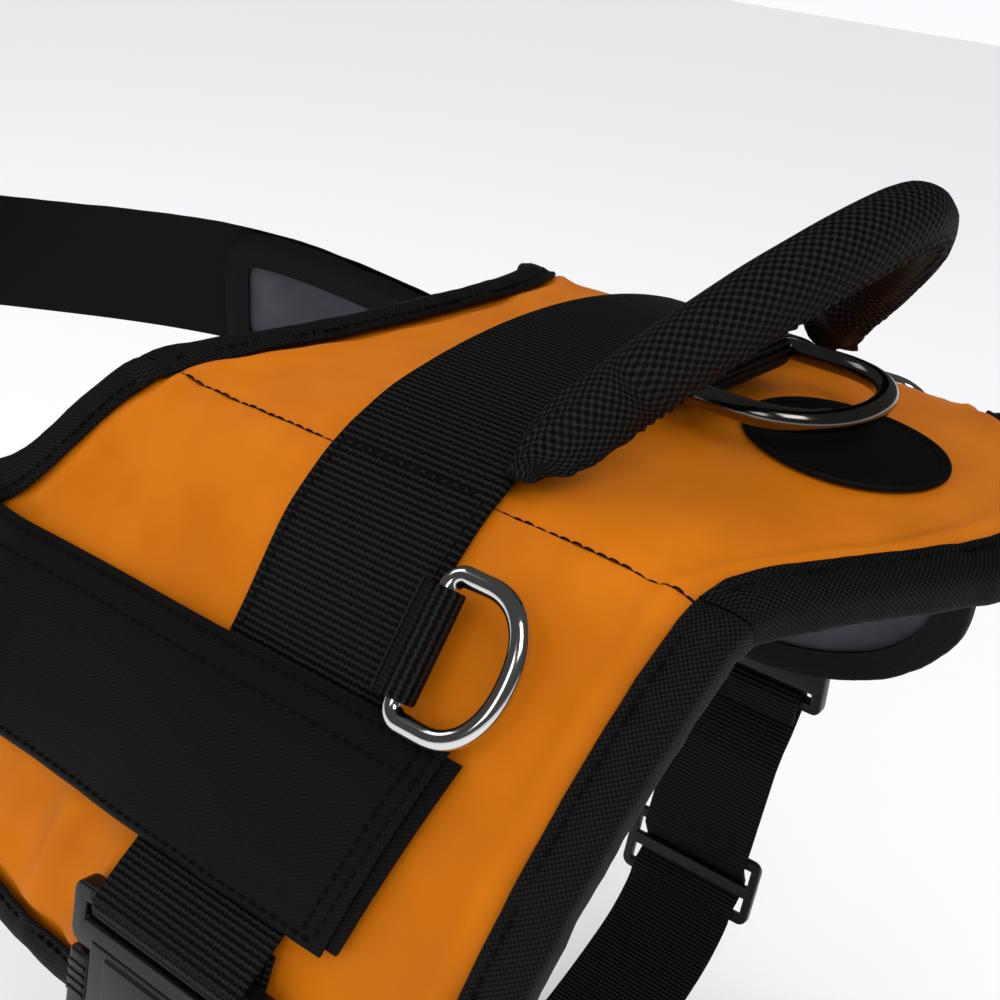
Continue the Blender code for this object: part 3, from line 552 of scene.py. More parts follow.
def straight(q0, y0, q1, y1, parts=40):
    """Straight line of pattern places."""
    return [(mix(q0, q1, s / parts), mix(y0, y1, s / parts)) for s in range(parts + 1)]


def even_line(points, step):
    """The same line with points a step apart, and its corners eased."""
    vectors = [Vector(point) for point in points]
    line = [vectors[0]]
    carried = 0.0
    for here, there in zip(vectors, vectors[1:]):
        length = (there - here).length
        while carried + length >= step and length > 0.0:
            here = here.lerp(there, (step - carried) / length)
            line.append(here)
            length = (there - here).length
            carried = 0.0
        carried += length
    line[-1] = vectors[-1]
    for _ in range(EASING_ROUNDS):
        inner = [0.5 * b + 0.25 * (a + c) for a, b, c in zip(line, line[1:], line[2:])]
        line = [line[0]] + inner + [line[-1]]
    return line


SIDE_OUTLINE = rounded_outline()


def edge_distance(q, y):
    """Distance from a pattern place to the nearest cut edge of its panel."""
    q = abs(q)
    if q < HALF_TOP:
        return max(min(y - top_edge(q, 1), top_edge(q, 2) - y), 0.0)
    return math.sqrt(min((q - here.x) ** 2 + (y - here.y) ** 2 for here in SIDE_OUTLINE))


def padding(q, y):
    """Thickness of the saddle at a pattern place."""
    full = mix(PAD_CREASE, PAD, ease(abs(abs(q) - HALF_TOP) / PAD_SLOPE))
    return mix(PAD_EDGE, full, ease((edge_distance(q, y) - PAD_FLAT) / PAD_SLOPE))


def soft(q, y, scale, seed):
    """Smooth noise over the pattern."""
    return noise.noise(Vector((q * scale, y * scale, seed * 7.3)))


def bare(q, y):
    """1 where the shell shows, 0 where webbing, a strap or the patch lies on it."""
    q = abs(q)
    (upper_q, _), (lower_q, _) = STRIP_END
    beside_web = ease((abs(y - drift(q)) - WEB_HALF) / (SHOW_REACH + 0.001))
    past_end = ease((y - read_table(STRIP_END, q) - PLY_PAST) / SHOW_REACH)
    beside_strip = max(ease((upper_q - q) / SHOW_REACH), ease((q - lower_q) / SHOW_REACH))
    beside_patch = ease((math.hypot(q, y - PATCH_Y) - PATCH_R) / SHOW_REACH)
    return min(beside_web, max(past_end, beside_strip), beside_patch)


def fold(q, y):
    """Height of the small folds in the shell's outer face."""
    edge = max(edge_distance(q, y) - LEAF, 0.0)
    past_crease = abs(q) - HALF_TOP
    # Uneven cloth all over, with puckers by the binding and by the crease
    height = 0.0012 * soft(q, y, 19, 1) + 0.0004 * soft(q, y, 58, 2)
    height += 0.0020 * fade(edge, 0.013) * soft(q, y, 52, 3)
    height += 0.0007 * fade(abs(past_crease), 0.0075) * soft(0.0, y, 190, 5 if past_crease > 0.0 else 4)
    # Ridge along the binding, with a valley at the binding's foot
    height += 0.0017 * (1.0 + 0.5 * soft(q, y, 44, 8)) * hump(edge - 0.0060, 0.0036)
    height -= 0.0014 * fade(edge, 0.0026)
    # Puckers at the rear corner of the crease
    height += 0.0016 * hump(math.hypot(past_crease, y - HEM_REAR + 0.004), 0.013) * soft(q, y, 150, 9)
    # Slanted folds on the flank
    flank = hump(abs(q) - 0.206, 0.022) * hump(y + 0.045, 0.030)
    height += 0.0034 * flank * math.sin(2.0 * math.pi * (y + 0.3 * (abs(q) - 0.2)) / 0.021)
    # Groove of the crease
    height -= 0.0006 * hump(past_crease, 0.0012)
    height = height * bare(q, y) - 0.0002
    # The cloth never dips so far that it meets the lining
    dip = -0.3 * SHELL
    room = 0.4 * SHELL
    if height < dip:
        height = dip - room * (1.0 - math.exp((height - dip) / room))
    return height


# Meshes


def tube_faces(columns, rows, base=0):
    """Faces of a tube of rings, closed at both ends."""
    faces = []
    for i in range(rows - 1):
        near = base + i * columns
        far = near + columns
        for j in range(columns):
            k = (j + 1) % columns
            faces.append((near + j, near + k, far + k, far + j))
    last = base + (rows - 1) * columns
    faces.append(tuple(base + j for j in range(columns - 1, -1, -1)))
    faces.append(tuple(last + j for j in range(columns)))
    return faces


def skin(name, rings, uv, finish):
    """Closed mesh over rings of points, with the pattern place as its UV map."""
    columns = len(rings[0])
    last = len(rings) - 1
    maps = []
    for i in range(last):
        for j in range(columns):
            maps += [uv(i, j), uv(i, j + 1), uv(i + 1, j + 1), uv(i + 1, j)]
    maps += [uv(0, j) for j in range(columns - 1, -1, -1)]
    maps += [uv(last, j) for j in range(columns)]
    mesh = bpy.data.meshes.new(name)
    mesh.from_pydata([point for ring in rings for point in ring], [], tube_faces(columns, len(rings)))
    layer = mesh.uv_layers.new(name="pattern")
    layer.data.foreach_set("uv", [value for pair in maps for value in pair])
    return finish_piece(name, mesh, finish)


def finish_piece(name, mesh, finish, smooth_angle=50.0):
    """Object of a mesh with outward faces, smooth shading and its finish."""
    bm = bmesh.new()
    bm.from_mesh(mesh)
    bmesh.ops.recalc_face_normals(bm, faces=bm.faces)
    if bm.calc_volume(signed=True) < 0.0:
        bmesh.ops.reverse_faces(bm, faces=bm.faces)
    bm.to_mesh(mesh)
    bm.free()
    mesh.shade_smooth()
    mesh.set_sharp_from_angle(angle=math.radians(smooth_angle))
    mesh.materials.append(FINISHES[finish])
    piece = bpy.data.objects.new(name, mesh)
    bpy.context.scene.collection.objects.link(piece)
    return piece


def wear(piece, body, *nodes):
    """Let a piece ride on its body in place of its solids."""
    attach(piece, body)
    if nodes:
        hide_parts(*nodes)
    return piece


def cloth(name, lines, low, high, finish, node):
    """Closed sheet over rows of pattern places, between the heights low and high."""
    columns = range(len(lines[0]))
    loop = [(j, high) for j in columns] + [(j, low) for j in reversed(columns)]
    rings = []
    for line in lines:
        rings.append([on_body(*line[j], height(*line[j])) for j, height in loop])
    piece = skin(name, rings, lambda i, j: lines[i][loop[j % len(loop)][0]], finish)
    return wear(piece, "harness", node)


def area_of(lines):
    """Flat area of a sheet of pattern places."""
    total = 0.0
    for near, far in zip(lines, lines[1:]):
        for j in range(len(near) - 1):
            a, b, c, d = [Vector(point) for point in (near[j], near[j + 1], far[j + 1], far[j])]
            total += 0.5 * abs((c - a).cross(d - b))
    return total


def top_lines():
    """Fine mesh lines of the top panel."""
    half = HALF_TOP - SEAM_HALF
    columns = [half * (2.0 * j / TOP_COLUMNS - 1.0) for j in range(TOP_COLUMNS + 1)]
    ends = [(q, top_edge(q, 1), top_edge(q, 2)) for q in columns]
    return [[(q, mix(front, rear, i / TOP_ROWS)) for q, front, rear in ends] for i in range(TOP_ROWS + 1)]


def side_lines(side):
    """Fine mesh lines of a side panel."""
    lines = []
    for i in range(SIDE_ROWS + 1):
        upper_q, upper_y, lower_q, lower_y = side_edge((len(SIDE_EDGE) - 1) * i / SIDE_ROWS)
        line = straight(upper_q, upper_y, lower_q, lower_y, SIDE_COLUMNS)
        lines.append([(side * q, y) for q, y in line])
    return lines


def lining_low(q, y):
    """Underside of the padded lining."""
    return -padding(q, y) - 0.0006 * soft(q, y, 30, 6)


def make_saddle():
    """Shell and padded lining of the three panels."""
    panels = [("top", top_lines())] + [(name, side_lines(side)) for name, side in SIDES]
    for name, lines in panels:
        shell = cloth("saddle_shell_" + name, lines, lambda q, y: -SHELL, fold, "orange_satin", "shell_" + name)
        across = [q for line in lines for q, _ in line]
        along = [y for line in lines for _, y in line]
        width = max(across) - min(across)
        length = max(along) - min(along)
        min(area_of(lines), 0.999 * width * length)
        coarse = [line[::2] for line in lines[::2]]
        lining = cloth("saddle_lining_" + name, coarse, lining_low, lambda q, y: -SHELL - GAP,
                       "grey_lining", "lining_" + name)


# Bindings


def binding_ring(place, inward, side, s):
    """Rounded section of the folded binding, puckered along its length."""
    thick = padding(*place)
    pucker = 0.0009 * noise.noise(Vector((s * 70.0, 3.0 * side, 1.0)))
    pucker += 0.0006 * noise.noise(Vector((s * 190.0, side, 5.0)))
    profile = []
    for reach, height in BINDING_LEAF:
        profile.append((reach, height + pucker * (1.0 if 0.002 < reach < LEAF else 0.5)))
    # Round the edge, between a half circle and a box
    rise = 0.5 * thick + BIND_OUT
    for k in range(1, 12):
        angle = math.radians(90.0 - 15.0 * k)
        flat_cos = math.cos(angle) ** 0.55
        flat_sin = math.copysign(abs(math.sin(angle)) ** 0.62, angle)
        profile.append((0.0008 - (BIND_OUT + 0.0012) * flat_cos + 0.6 * pucker, rise * flat_sin - 0.5 * thick))
    profile += [(reach, depth - thick) for reach, depth in BINDING_UNDER]
    profile += [(-GAP, GAP), (0.0040, 0.0006)]
    ring = []
    for reach, height in profile:
        q, y = place + inward * reach
        ring.append(on_body(side * q, y, height))
    return ring


def binding(name, line, ends, side, node):
    """Binding along a line of the pattern; the panel lies to the left of the direction."""
    run = run_along(line)
    rings = []
    for i, here in enumerate(line):
        along = direction(line, i)
        inward = Vector((-along.y, along.x))
        if i == 0:
            inward = Vector(ends[0])
        if i == len(line) - 1:
            inward = Vector(ends[1])
        rings.append(binding_ring(here, inward, side, run[i]))
    middle = rings[len(rings) // 2]
    across = run_along(middle + middle[:1])
    piece = skin(name, rings, lambda i, j: (run[i], across[j]), "black_binding")
    wear(piece, "harness", node)


def make_bindings():
    """Bindings of the front edge, the rear edge and both sides."""
    half = HALF_TOP - SEAM_HALF
    places = [half * (2.0 * i / TOP_BINDING_STEPS - 1.0) for i in range(TOP_BINDING_STEPS + 1)]
    front = [Vector((q, top_edge(q, 1))) for q in places]
    rear = [Vector((q, top_edge(q, 2))) for q in reversed(places)]
    binding("edge_binding_front", front, ((0, 1), (0, 1)), 1, "binding_front")
    binding("edge_binding_rear", rear, ((0, -1), (0, -1)), 1, "binding_rear")
    for name, side in SIDES:
        ends = ((0, 1), (0, -1))
        binding("edge_binding_" + name, SIDE_OUTLINE, ends, side, "binding_" + name)


# Webbing


def ribbon(name, path, thick, half, place, node):
    """Webbing along a path of a and n; place turns a, n and the share of the half width into a point."""
    loop = [(edge, -share) for edge, share in RIBBON_EDGE]
    loop += [(edge, share) for edge, share in reversed(RIBBON_EDGE)]
    run = run_along(path)
    rings = []
    for i, middle in enumerate(path):
        along = direction(path, i)
        up = Vector((-along.y, along.x)) * 0.5 * thick
        rings.append([place(*(middle + up * share), edge) for edge, share in loop])
    piece = skin(name, rings, lambda i, j: (run[i], half * loop[j % len(loop)][0]), "black_webbing")
    wear(piece, "harness", node)


def webbing_place(q, n, edge):
    """Point of the girth or belly webbing."""
    return on_body(q, drift(q) + edge * WEB_HALF, n)


def bar_places():
    """Pattern places q and n of the two bars of a buckle."""
    frame = place_frame(BUCKLE_Q, drift(BUCKLE_Q), BUCKLE_N)
    return [pattern_place(frame @ Vector((a, 0.0, 0.0)), BUCKLE_Q + a) for a in (-BAR_AT, BAR_AT)]


def hook_path(bar_q, bar_n, sense):
    """Middle line of a strap that comes from outside, turns round a bar and ends beneath itself."""
    points = []
    for degrees in range(114, -91, -17):
        angle = math.radians(degrees)
        points.append((bar_q + sense * LOOP_R * math.cos(angle), bar_n + LOOP_R * math.sin(angle)))
    points.append((bar_q - sense * LOOP_TAIL, bar_n - LOOP_R))
    return points


def girth_path():
    """Middle line of the girth webbing from the spine to its end behind the socket's bar."""
    middle_n = WEB_LIFT + 0.5 * WEBBING
    (bar_q, bar_n), _ = bar_places()
    half = [(q, middle_n + arch(q)) for q in WEB_COLUMNS]
    flat_end = STRIP_END[1][0]
    steps = round((flat_end - WEB_COLUMNS[-1]) / WEB_STEP)
    for i in range(1, steps + 1):
        half.append((mix(WEB_COLUMNS[-1], flat_end, i / steps), middle_n))
    half.append((0.5 * (flat_end + bar_q) - 0.001, mix(middle_n, bar_n + LOOP_R, 0.45)))
    return half + hook_path(bar_q, bar_n, 1)


def make_girth():
    """Girth webbing from the left socket's bar over the back to the right one."""
    half = girth_path()
    path = smooth_path([(-q, n) for q, n in reversed(half[1:])] + half, 3)
    ribbon("girth_strap", path, WEBBING, WEB_HALF, webbing_place, "girth_webbing")


def belly_path():
    """Middle line of the belly strap from the plug's bar through the slider to the middle of the belly."""
    _, (bar_q, bar_n) = bar_places()
    hang = 0.5 * WEBBING
    half = list(reversed(hook_path(bar_q, bar_n, -1)))
    half.append((bar_q + 0.016, mix(hang, bar_n + LOOP_R, 0.45)))
    half.append((bar_q + 0.030, hang - 0.001))
    slider = place_frame(SLIDER_Q, drift(SLIDER_Q), 0.0)
    inner, outer = SLIDER_SLOT
    for a, level in ((-0.020, -1.0), (0.0004 - outer, -1.0), (-0.0006 - inner, 1.0),
                     (inner + 0.0006, 1.0), (outer - 0.0004, -1.0), (0.016, -1.0)):
        half.append(pattern_place(slider @ Vector((a, 0.0, level * SLIDER_LIFT)), SLIDER_Q + a))
    start_q = half[-1][0]
    steps = round((BELLY_Q - start_q) / WEB_STEP)
    for i in range(1, steps + 1):
        half.append((mix(start_q, BELLY_Q, i / steps), mix(half[-1][1], -hang, 0.4)))
    return half


def make_belly():
    """Belly strap, one ribbon from the left plug's bar under the belly to the right one."""
    path = smooth_path(belly_path(), 2)
    whole = path + [Vector((2.0 * BELLY_Q - point.x, point.y)) for point in reversed(path[:-1])]

    def place(q, n, edge):
        side = 1.0 if q <= BELLY_Q else -1.0
        near = min(q, 2.0 * BELLY_Q - q)
        return on_body(side * max(near, 0.0001), drift(near) + edge * WEB_HALF, n)

    ribbon("belly_webbing", whole, WEBBING, WEB_HALF, place, "belly_strap")


# Chest strap


def over_webbing(q, y):
    """1 where the chest strap lies over the girth webbing, easing to 0 beside it."""
    return 1.0 - ease((abs(y - drift(q)) - WEB_HALF - 0.0015) / 0.045)


def ply_low(q, y):
    """Underside of the hook and loop ply."""
    return WEB_LIFT + (WEBBING + GAP) * max(over_webbing(q, y), ease((y - drift(q)) / 0.02))


def ply_high(q, y):
    """Upper face of the hook and loop ply."""
    return ply_low(q, y) + PLY


def strap_low(q, y):
    """Underside of the chest strap."""
    on_panel = ply_low(q, y) + PLY + GAP
    return mix(ARM_LIFT, on_panel, ease((y - STRIP_FRONT + 0.004) / 0.018))


def strap_high(q, y):
    """Outer face of the chest strap, with its edges pressed down and soft waves."""
    from_edge = min(abs(q) - STRIP_END[0][0], STRIP_END[1][0] - abs(q))
    from_end = read_table(STRIP_END, abs(q)) - y
    pressed = math.sqrt(min(max(min(from_edge, from_end) / 0.0016, 0.12), 1.0))
    waves = 0.0007 * soft(q, y, 34, 9) + 0.0005 * fade(from_edge, 0.006) * soft(q, y, 90, 10)
    rows = sum(hump(from_edge - d, 0.0011) for d in STRAP_STITCHES)
    return strap_low(q, y) + WEBBING * pressed + waves * ease(from_end / 0.01) - 0.0003 * rows


def strap_lines(front_y, inset=0.0, past=0.0):
    """Mesh lines of one end of the chest strap, from its slanted rear end forward to front_y."""
    (upper_q, upper_y), (lower_q, lower_y) = STRIP_END
    middle_y = 0.5 * (upper_y + lower_y)
    shares = [0.0, 0.006, 0.014, 0.025, 0.04] + [j / 20 for j in range(1, 20)]
    shares += [0.96, 0.975, 0.986, 0.994, 1.0]
    lines = []
    for d in [0.0, 0.0004, 0.0008, 0.0014, 0.0022] + [0.0022 + 0.0028 * i for i in range(1, 400)]:
        line = []
        for s in shares:
            slanted = mix(upper_y, lower_y, s) + past - d
            y = mix(slanted, middle_y + past - d, ease((d - 0.030) / 0.080))
            line.append((mix(upper_q + inset, lower_q - inset, s), y))
        if line[0][1] < front_y:
            break
        lines.append(line)
    return lines


def make_chest_strap():
    """Chest strap from one flank round the chest to the other, and the plies under its ends."""
    left = strap_lines(BEND_Y - CHEST_LENGTH)
    middle = [(q, BEND_Y - CHEST_LENGTH) for q, _ in left[-1]]
    right = [[(-q, y) for q, y in line] for line in reversed(left)]
    lines = left + [middle] + right
    piece = cloth("chest_strap_cloth", lines, strap_low, strap_high, "black_strap", "chest_strap")
    for name, side in SIDES:
        lines = strap_lines(STRIP_FRONT, inset=PLY_INSET, past=PLY_PAST)
        lines = [[(side * q, y) for q, y in line] for line in lines]
        ply = cloth("hook_ply_" + name, lines, ply_low, ply_high, "black_strap", "loop_ply_" + name)


# Handle


def handle_line():
    """Stations of the handle from the left foot to the right one, each with its width direction."""
    foot_n = WEB_LIFT + WEBBING + 2.0 * GAP + 0.5 * TAB_THICK
    lean = Vector((0.0, math.sin(HANDLE_LEAN), math.cos(HANDLE_LEAN)))
    across = Vector((0.0, math.cos(HANDLE_LEAN), -math.sin(HANDLE_LEAN)))
    foot = [on_body(q, FOOT_Y, foot_n + arch(q)) for q in TAB_PLACES]
    line = [(point, Vector((0.0, 1.0, 0.0))) for point in foot[:2]]
    for i in range(2, 12):
        angle = math.pi * i / 22
        reach = HANDLE_SPAN * math.cos(angle) ** HANDLE_POWER
        rise = HANDLE_RISE * math.sin(angle) ** HANDLE_POWER
        line.append((Vector((reach, HANDLE_Y, foot[2].z)) + lean * rise, across))
    mirror = Vector((-1.0, 1.0, 1.0))
    return line + [(point * mirror, way) for point, way in reversed(line[:-1])]


def handle_ring(point, width_way, thick_way, from_end, s):
    """Section of the handle at a point, with the gathers of its seam and the creases of its foot."""
    sewn = TAB_PLACES[0] - TAB_PLACES[-1]
    roundness = ease((from_end - sewn) / TAB_BLEND)
    half = mix(mix(TAB_TIP, TAB_HALF, ease(from_end / sewn)), HANDLE_R, roundness)
    thick = mix(0.5 * TAB_THICK, HANDLE_R, roundness) * ease(from_end / 0.0030 + 0.12)
    crease = 0.16 * (1.0 - roundness) + 0.022
    gather = 0.5 + 0.5 * math.sin(2.0 * math.pi * s / HANDLE_GATHER)
    ring = []
    for j in range(HANDLE_SIDES):
        angle = 2.0 * math.pi * j / HANDLE_SIDES
        cosine = math.cos(angle)
        sine = math.sin(angle)
        ripple = 1.0 + crease * noise.noise(Vector((3.1 * cosine, 3.1 * sine, s * 60.0)))
        ripple += (0.05 + 0.09 * gather) * hump(min(angle, 2.0 * math.pi - angle), 0.36)
        cosine = math.copysign(abs(cosine) ** mix(0.75, 1.0, roundness), cosine)
        sine = math.copysign(abs(sine) ** mix(0.8, 1.0, roundness), sine)
        ring.append(point + (width_way * half * cosine + thick_way * thick * sine) * ripple)
    return ring


def make_handle():
    """Padded handle, round in the hand and flat where it is sewn to the webbing."""
    stations = handle_line()
    points = smooth_path([point for point, _ in stations], 12)
    ways = smooth_path([way for _, way in stations], 12)
    run = run_along(points)
    rings = []
    for i, point in enumerate(points):
        along = direction(points, i)
        thick_way = along.cross(ways[i]).normalized()
        width_way = thick_way.cross(along).normalized()
        rings.append(handle_ring(point, width_way, thick_way, min(run[i], run[-1] - run[i]), run[i]))
    around = 2.0 * math.pi * HANDLE_R / HANDLE_SIDES
    piece = skin("grab_handle", rings, lambda i, j: (run[i], around * j), "black_cover")
    wear(piece, "harness", "handle")


# Rings and their tapes


def ring_line(half, depth, corner):
    """Middle line of a ring: a bar across, two short legs and a half round bow, as u and v."""
    leg = depth * 0.42
    points = []
    for k in range(9, -1, -1):
        angle = math.radians(10.0 * k)
        points.append((-(half - corner * (1.0 - math.sin(angle))), corner * (1.0 - math.cos(angle))))
    right = [(-u, v) for u, v in reversed(points)]
    bow = []
    for k in range(49):
        angle = math.pi * k / 48
        reach = math.copysign(abs(math.cos(angle)) ** 0.9, math.cos(angle))
        bow.append((half * reach, leg + (depth - leg) * math.sin(angle) ** 0.9))
    return points + right + bow


def make_ring(name, ring, place, body, node, finish):
    """Ring of bent round wire, swept along its line."""
    frame = place_frame(*place)
    line = ring_line(ring["half"], ring["depth"], ring["corner"])
    bpy.ops.object.select_all(action="DESELECT")
    bpy.ops.curve.primitive_bezier_circle_add(radius=ring["half"])
    wire = bpy.context.active_object
    wire.data.splines.clear()
    path = wire.data.splines.new("POLY")
    path.points.add(len(line) - 1)
    for point, (u, v) in zip(path.points, line):
        point.co = (*(frame @ Vector((u, v, 0.0))), 1.0)
    path.use_cyclic_u = True
    wire.data.dimensions = "3D"
    wire.data.bevel_depth = ring["wire"]
    wire.data.bevel_resolution = 6
    wire.data.twist_mode = "MINIMUM"
    bpy.ops.object.convert(target="MESH")
    mesh = wire.data.copy()
    bpy.data.objects.remove(wire, do_unlink=True)
    mesh.name = name
    wear(finish_piece(name, mesh, finish), body, node)


def tape_path(place, wire, tail_y, tails, turn, knee_y):
    """Middle line of a tape in y and n: under tail, round the bar, upper tail."""
    _, bar_y, bar_n = place
    low, high = tails
    radius = wire + GAP + 0.5 * TAPE
    points = [(tail_y, low), (mix(tail_y, bar_y, 0.3), low)]
    for k in range(12):
        angle = math.radians(mix(*turn, k / 11))
        points.append((bar_y + radius * math.cos(angle), bar_n + radius * math.sin(angle)))
    points += [(knee_y, high + 0.0005), (tail_y, high)]
    return smooth_path(points, 3)


def make_tape(name, place, half, tail_y, path, slack, node):
    """Tape round a ring's bar: true to the bar at the ring and to the body at its tails."""
    frame = place_frame(*place)
    centre, bar_y, bar_n = place
    sense = 1.0 if centre >= 0.0 else -1.0

    def tape_place(y, n, edge):
        q = centre + edge * half
        lying = on_body(q, y, n + slack(q) - slack(centre))
        firm = frame @ Vector((edge * half * sense, y - bar_y, n - bar_n))
        return lying.lerp(firm, ease((y - tail_y) / (0.4 * (bar_y - tail_y))))

    ribbon(name, path, TAPE, half, tape_place, node)


def make_rings():
    """Leash ring on the back, two rings on the flanks, and the tapes that hold them."""
    make_ring("leash_ring_wire", TOP_RING, TOP_RING_PLACE, "leash_ring", "ring_top", "dark_nickel")
    under = WEB_LIFT + WEB_ARCH - TAPE_SINK - 0.5 * TAPE
    path = tape_path(TOP_RING_PLACE, TOP_RING["wire"], TAPE_TAIL_Y, (under - TAPE - GAP, under),
                     (-115.0, 192.0), TOP_KNEE_Y)
    make_tape("ring_tape_top", TOP_RING_PLACE, TOP_TAPE_HALF, TAPE_TAIL_Y, path, arch, "tape_top")
    over = WEB_LIFT + WEBBING + GAP + 0.5 * TAPE
    path = tape_path(SIDE_RING_PLACE, SIDE_RING["wire"], SIDE_TAIL_Y, (over, over + TAPE + GAP),
                     (-120.0, 125.0), SIDE_KNEE_Y)
    ring_q, ring_y, ring_n = SIDE_RING_PLACE
    for name, side in SIDES:
        place = (side * ring_q, ring_y, ring_n)
        make_ring("side_ring_wire_" + name, SIDE_RING, place, name + "_ring", "ring_" + name, "bright_nickel")
        make_tape("ring_tape_" + name, place, SIDE_TAPE_HALF, SIDE_TAIL_Y, path, lambda q: 0.0, "tape_" + name)


# Patch


def make_patch():
    """Blank round patch with a raised rim."""
    top = WEB_LIFT + PATCH_THICK
    profile = [(0.02, WEB_LIFT), (0.5, WEB_LIFT), (0.97, WEB_LIFT), (1.0, WEB_LIFT + 0.0003)]
    profile += [(radius, top + height) for radius, height in PATCH_RIM]
    profile += [(0.87 - 0.07 * k, top) for k in range(12)] + [(0.02, top)]
    angles = [2.0 * math.pi * j / PATCH_SIDES for j in range(PATCH_SIDES + 1)]
    circles = []
    rings = []
    for share, height in profile:
        radius = PATCH_R * share
        circle = [(radius * math.cos(angle), radius * math.sin(angle)) for angle in angles]
        circles.append(circle)
        rings.append([on_body(q, PATCH_Y + y, height) for q, y in circle[:-1]])
    piece = skin("round_patch", rings, lambda i, j: circles[i][j], "patch_rubber")
    wear(piece, "harness", "patch")


# Hard pieces


def select_only(piece):
    """Make a piece the only selected and active one."""
    bpy.ops.object.select_all(action="DESELECT")
    piece.select_set(True)
    bpy.context.view_layer.objects.active = piece


def round_edges(width, segments, limit="ANGLE"):
    """Round the edges of the active piece."""
    rounding = bpy.context.active_object.modifiers.new("round", "BEVEL")
    rounding.width = width
    rounding.segments = segments
    rounding.limit_method = limit
    bpy.ops.object.modifier_apply(modifier="round")


def block(low, high, edge=0.0, segments=3):
    """Box between two corners, with rounded edges."""
    low = Vector(low)
    high = Vector(high)
    bpy.ops.object.select_all(action="DESELECT")
    bpy.ops.mesh.primitive_cube_add(size=1.0, location=0.5 * (low + high))
    box = bpy.context.active_object
    box.scale = high - low
    bpy.ops.object.transform_apply(location=True, rotation=True, scale=True)
    if edge:
        round_edges(edge, segments)
    return box


def cut_out(piece, tool):
    """Take the shape of the tool out of a piece."""
    select_only(piece)
    cut = piece.modifiers.new("cut", "BOOLEAN")
    cut.operation = "DIFFERENCE"
    cut.solver = "EXACT"
    cut.object = tool
    bpy.ops.object.modifier_apply(modifier="cut")
    bpy.data.objects.remove(tool, do_unlink=True)


def joined(pieces):
    """One object of several."""
    select_only(pieces[0])
    for piece in pieces[1:]:
        piece.select_set(True)
    bpy.ops.object.join()
    return bpy.context.active_object


def seat(piece, name, frame, node):
    """Set a moulded piece into its place on the body and give it its finish."""
    mesh = piece.data
    mesh.transform(frame)
    bpy.data.objects.remove(piece, do_unlink=True)
    mesh.name = name
    wear(finish_piece(name, mesh, "buckle_plastic", 35.0), "harness", node)


def plate_with_slots(start, end, half, thick, slots, corner):
    """Flat plate with rounded corners and slots, lying in its own plane."""
    plate = block((start, -half, -0.5 * thick), (end, half, 0.5 * thick))
    weight = plate.data.attributes.new("bevel_weight_edge", "FLOAT", "EDGE")
    for edge in plate.data.edges:
        first, second = [plate.data.vertices[k].co.z for k in edge.vertices]
        weight.data[edge.index].value = 1.0 if abs(first - second) > 0.5 * thick else 0.0
    round_edges(corner, 6, "WEIGHT")
    for low, high, slot_half in slots:
        cut_out(plate, block((low, -slot_half, -2.0 * thick), (high, slot_half, 2.0 * thick)))
    select_only(plate)
    round_edges(min(0.0009, 0.3 * thick), 3)
    return plate


def socket_pieces():
    """Socket of a buckle: a slotted head, a body with a raised crown, and ribs along the bar."""
    top = 0.5 * BUCKLE_THICK
    start = -BAR_AT - BAR_HALF
    slot = (-BAR_AT + BAR_HALF, -SLOT_END, SLOT_HALF)
    pieces = [plate_with_slots(start, -ARM_TIP - 0.002, BUCKLE_HALF, BUCKLE_THICK, [slot], BUCKLE_CORNER)]
    pieces.append(block((-ARM_TIP - 0.006, -ARM_IN, -top), (SOCKET_END, ARM_IN, top + 0.0004), 0.0012))
    half = ARM_IN - 0.006
    pieces.append(block((-ARM_TIP - 0.004, -half, 0.0), (SOCKET_END - 0.004, half, top + 0.0011), 0.0008))
    half = BUCKLE_HALF - 0.006
    for k in range(3):
        at = start + 0.0012 + 0.0009 * k
        pieces.append(block((at, -half, top - 0.0006), (at + 0.0004, half, top + 0.0002), 0.0001, 1))
    return pieces


def plug_pieces():
    """Plug of a buckle: a slotted foot and two ribbed prongs."""
    top = 0.5 * BUCKLE_THICK
    slot = (SLOT_END, BAR_AT - BAR_HALF, SLOT_HALF)
    end = BAR_AT + BAR_HALF
    pieces = [plate_with_slots(SOCKET_END + GAP, end, BUCKLE_HALF, BUCKLE_THICK, [slot], BUCKLE_CORNER)]
    inner = ARM_IN + GAP
    for low, high in ((-BUCKLE_HALF, -inner), (inner, BUCKLE_HALF)):
        pieces.append(block((-ARM_TIP, low, -top), (SOCKET_END + 0.004, high, top), 0.0014))
        for k in range(4):
            at = -ARM_TIP + 0.0035 + 0.0026 * k
            near = (at, low + 0.0006, top - 0.0004)
            far = (at + 0.0011, high - 0.0006, top + 0.0004)
            pieces.append(block(near, far, 0.0002, 2))
    return pieces


def make_buckles():
    """Side release buckles, each a socket and a plug."""
    for name, side in SIDES:
        frame = place_frame(side * BUCKLE_Q, drift(BUCKLE_Q), BUCKLE_N)
        seat(joined(socket_pieces()), "buckle_socket_body_" + name, frame, "buckle_socket_" + name)
        seat(joined(plug_pieces()), "buckle_plug_body_" + name, frame, "buckle_plug_" + name)


def make_sliders():
    """Three-bar sliders on the belly strap."""
    inner, outer = SLIDER_SLOT
    slots = [(-outer, -inner, SLIDER_SLOT_HALF), (inner, outer, SLIDER_SLOT_HALF)]
    for name, side in SIDES:
        frame = place_frame(side * SLIDER_Q, drift(SLIDER_Q), 0.0)
        plate = plate_with_slots(-SLIDER_END, SLIDER_END, SLIDER_HALF, SLIDER_THICK, slots, SLIDER_CORNER)
        seat(plate, "slider_plate_" + name, frame, "slider_" + name)


# Stitches


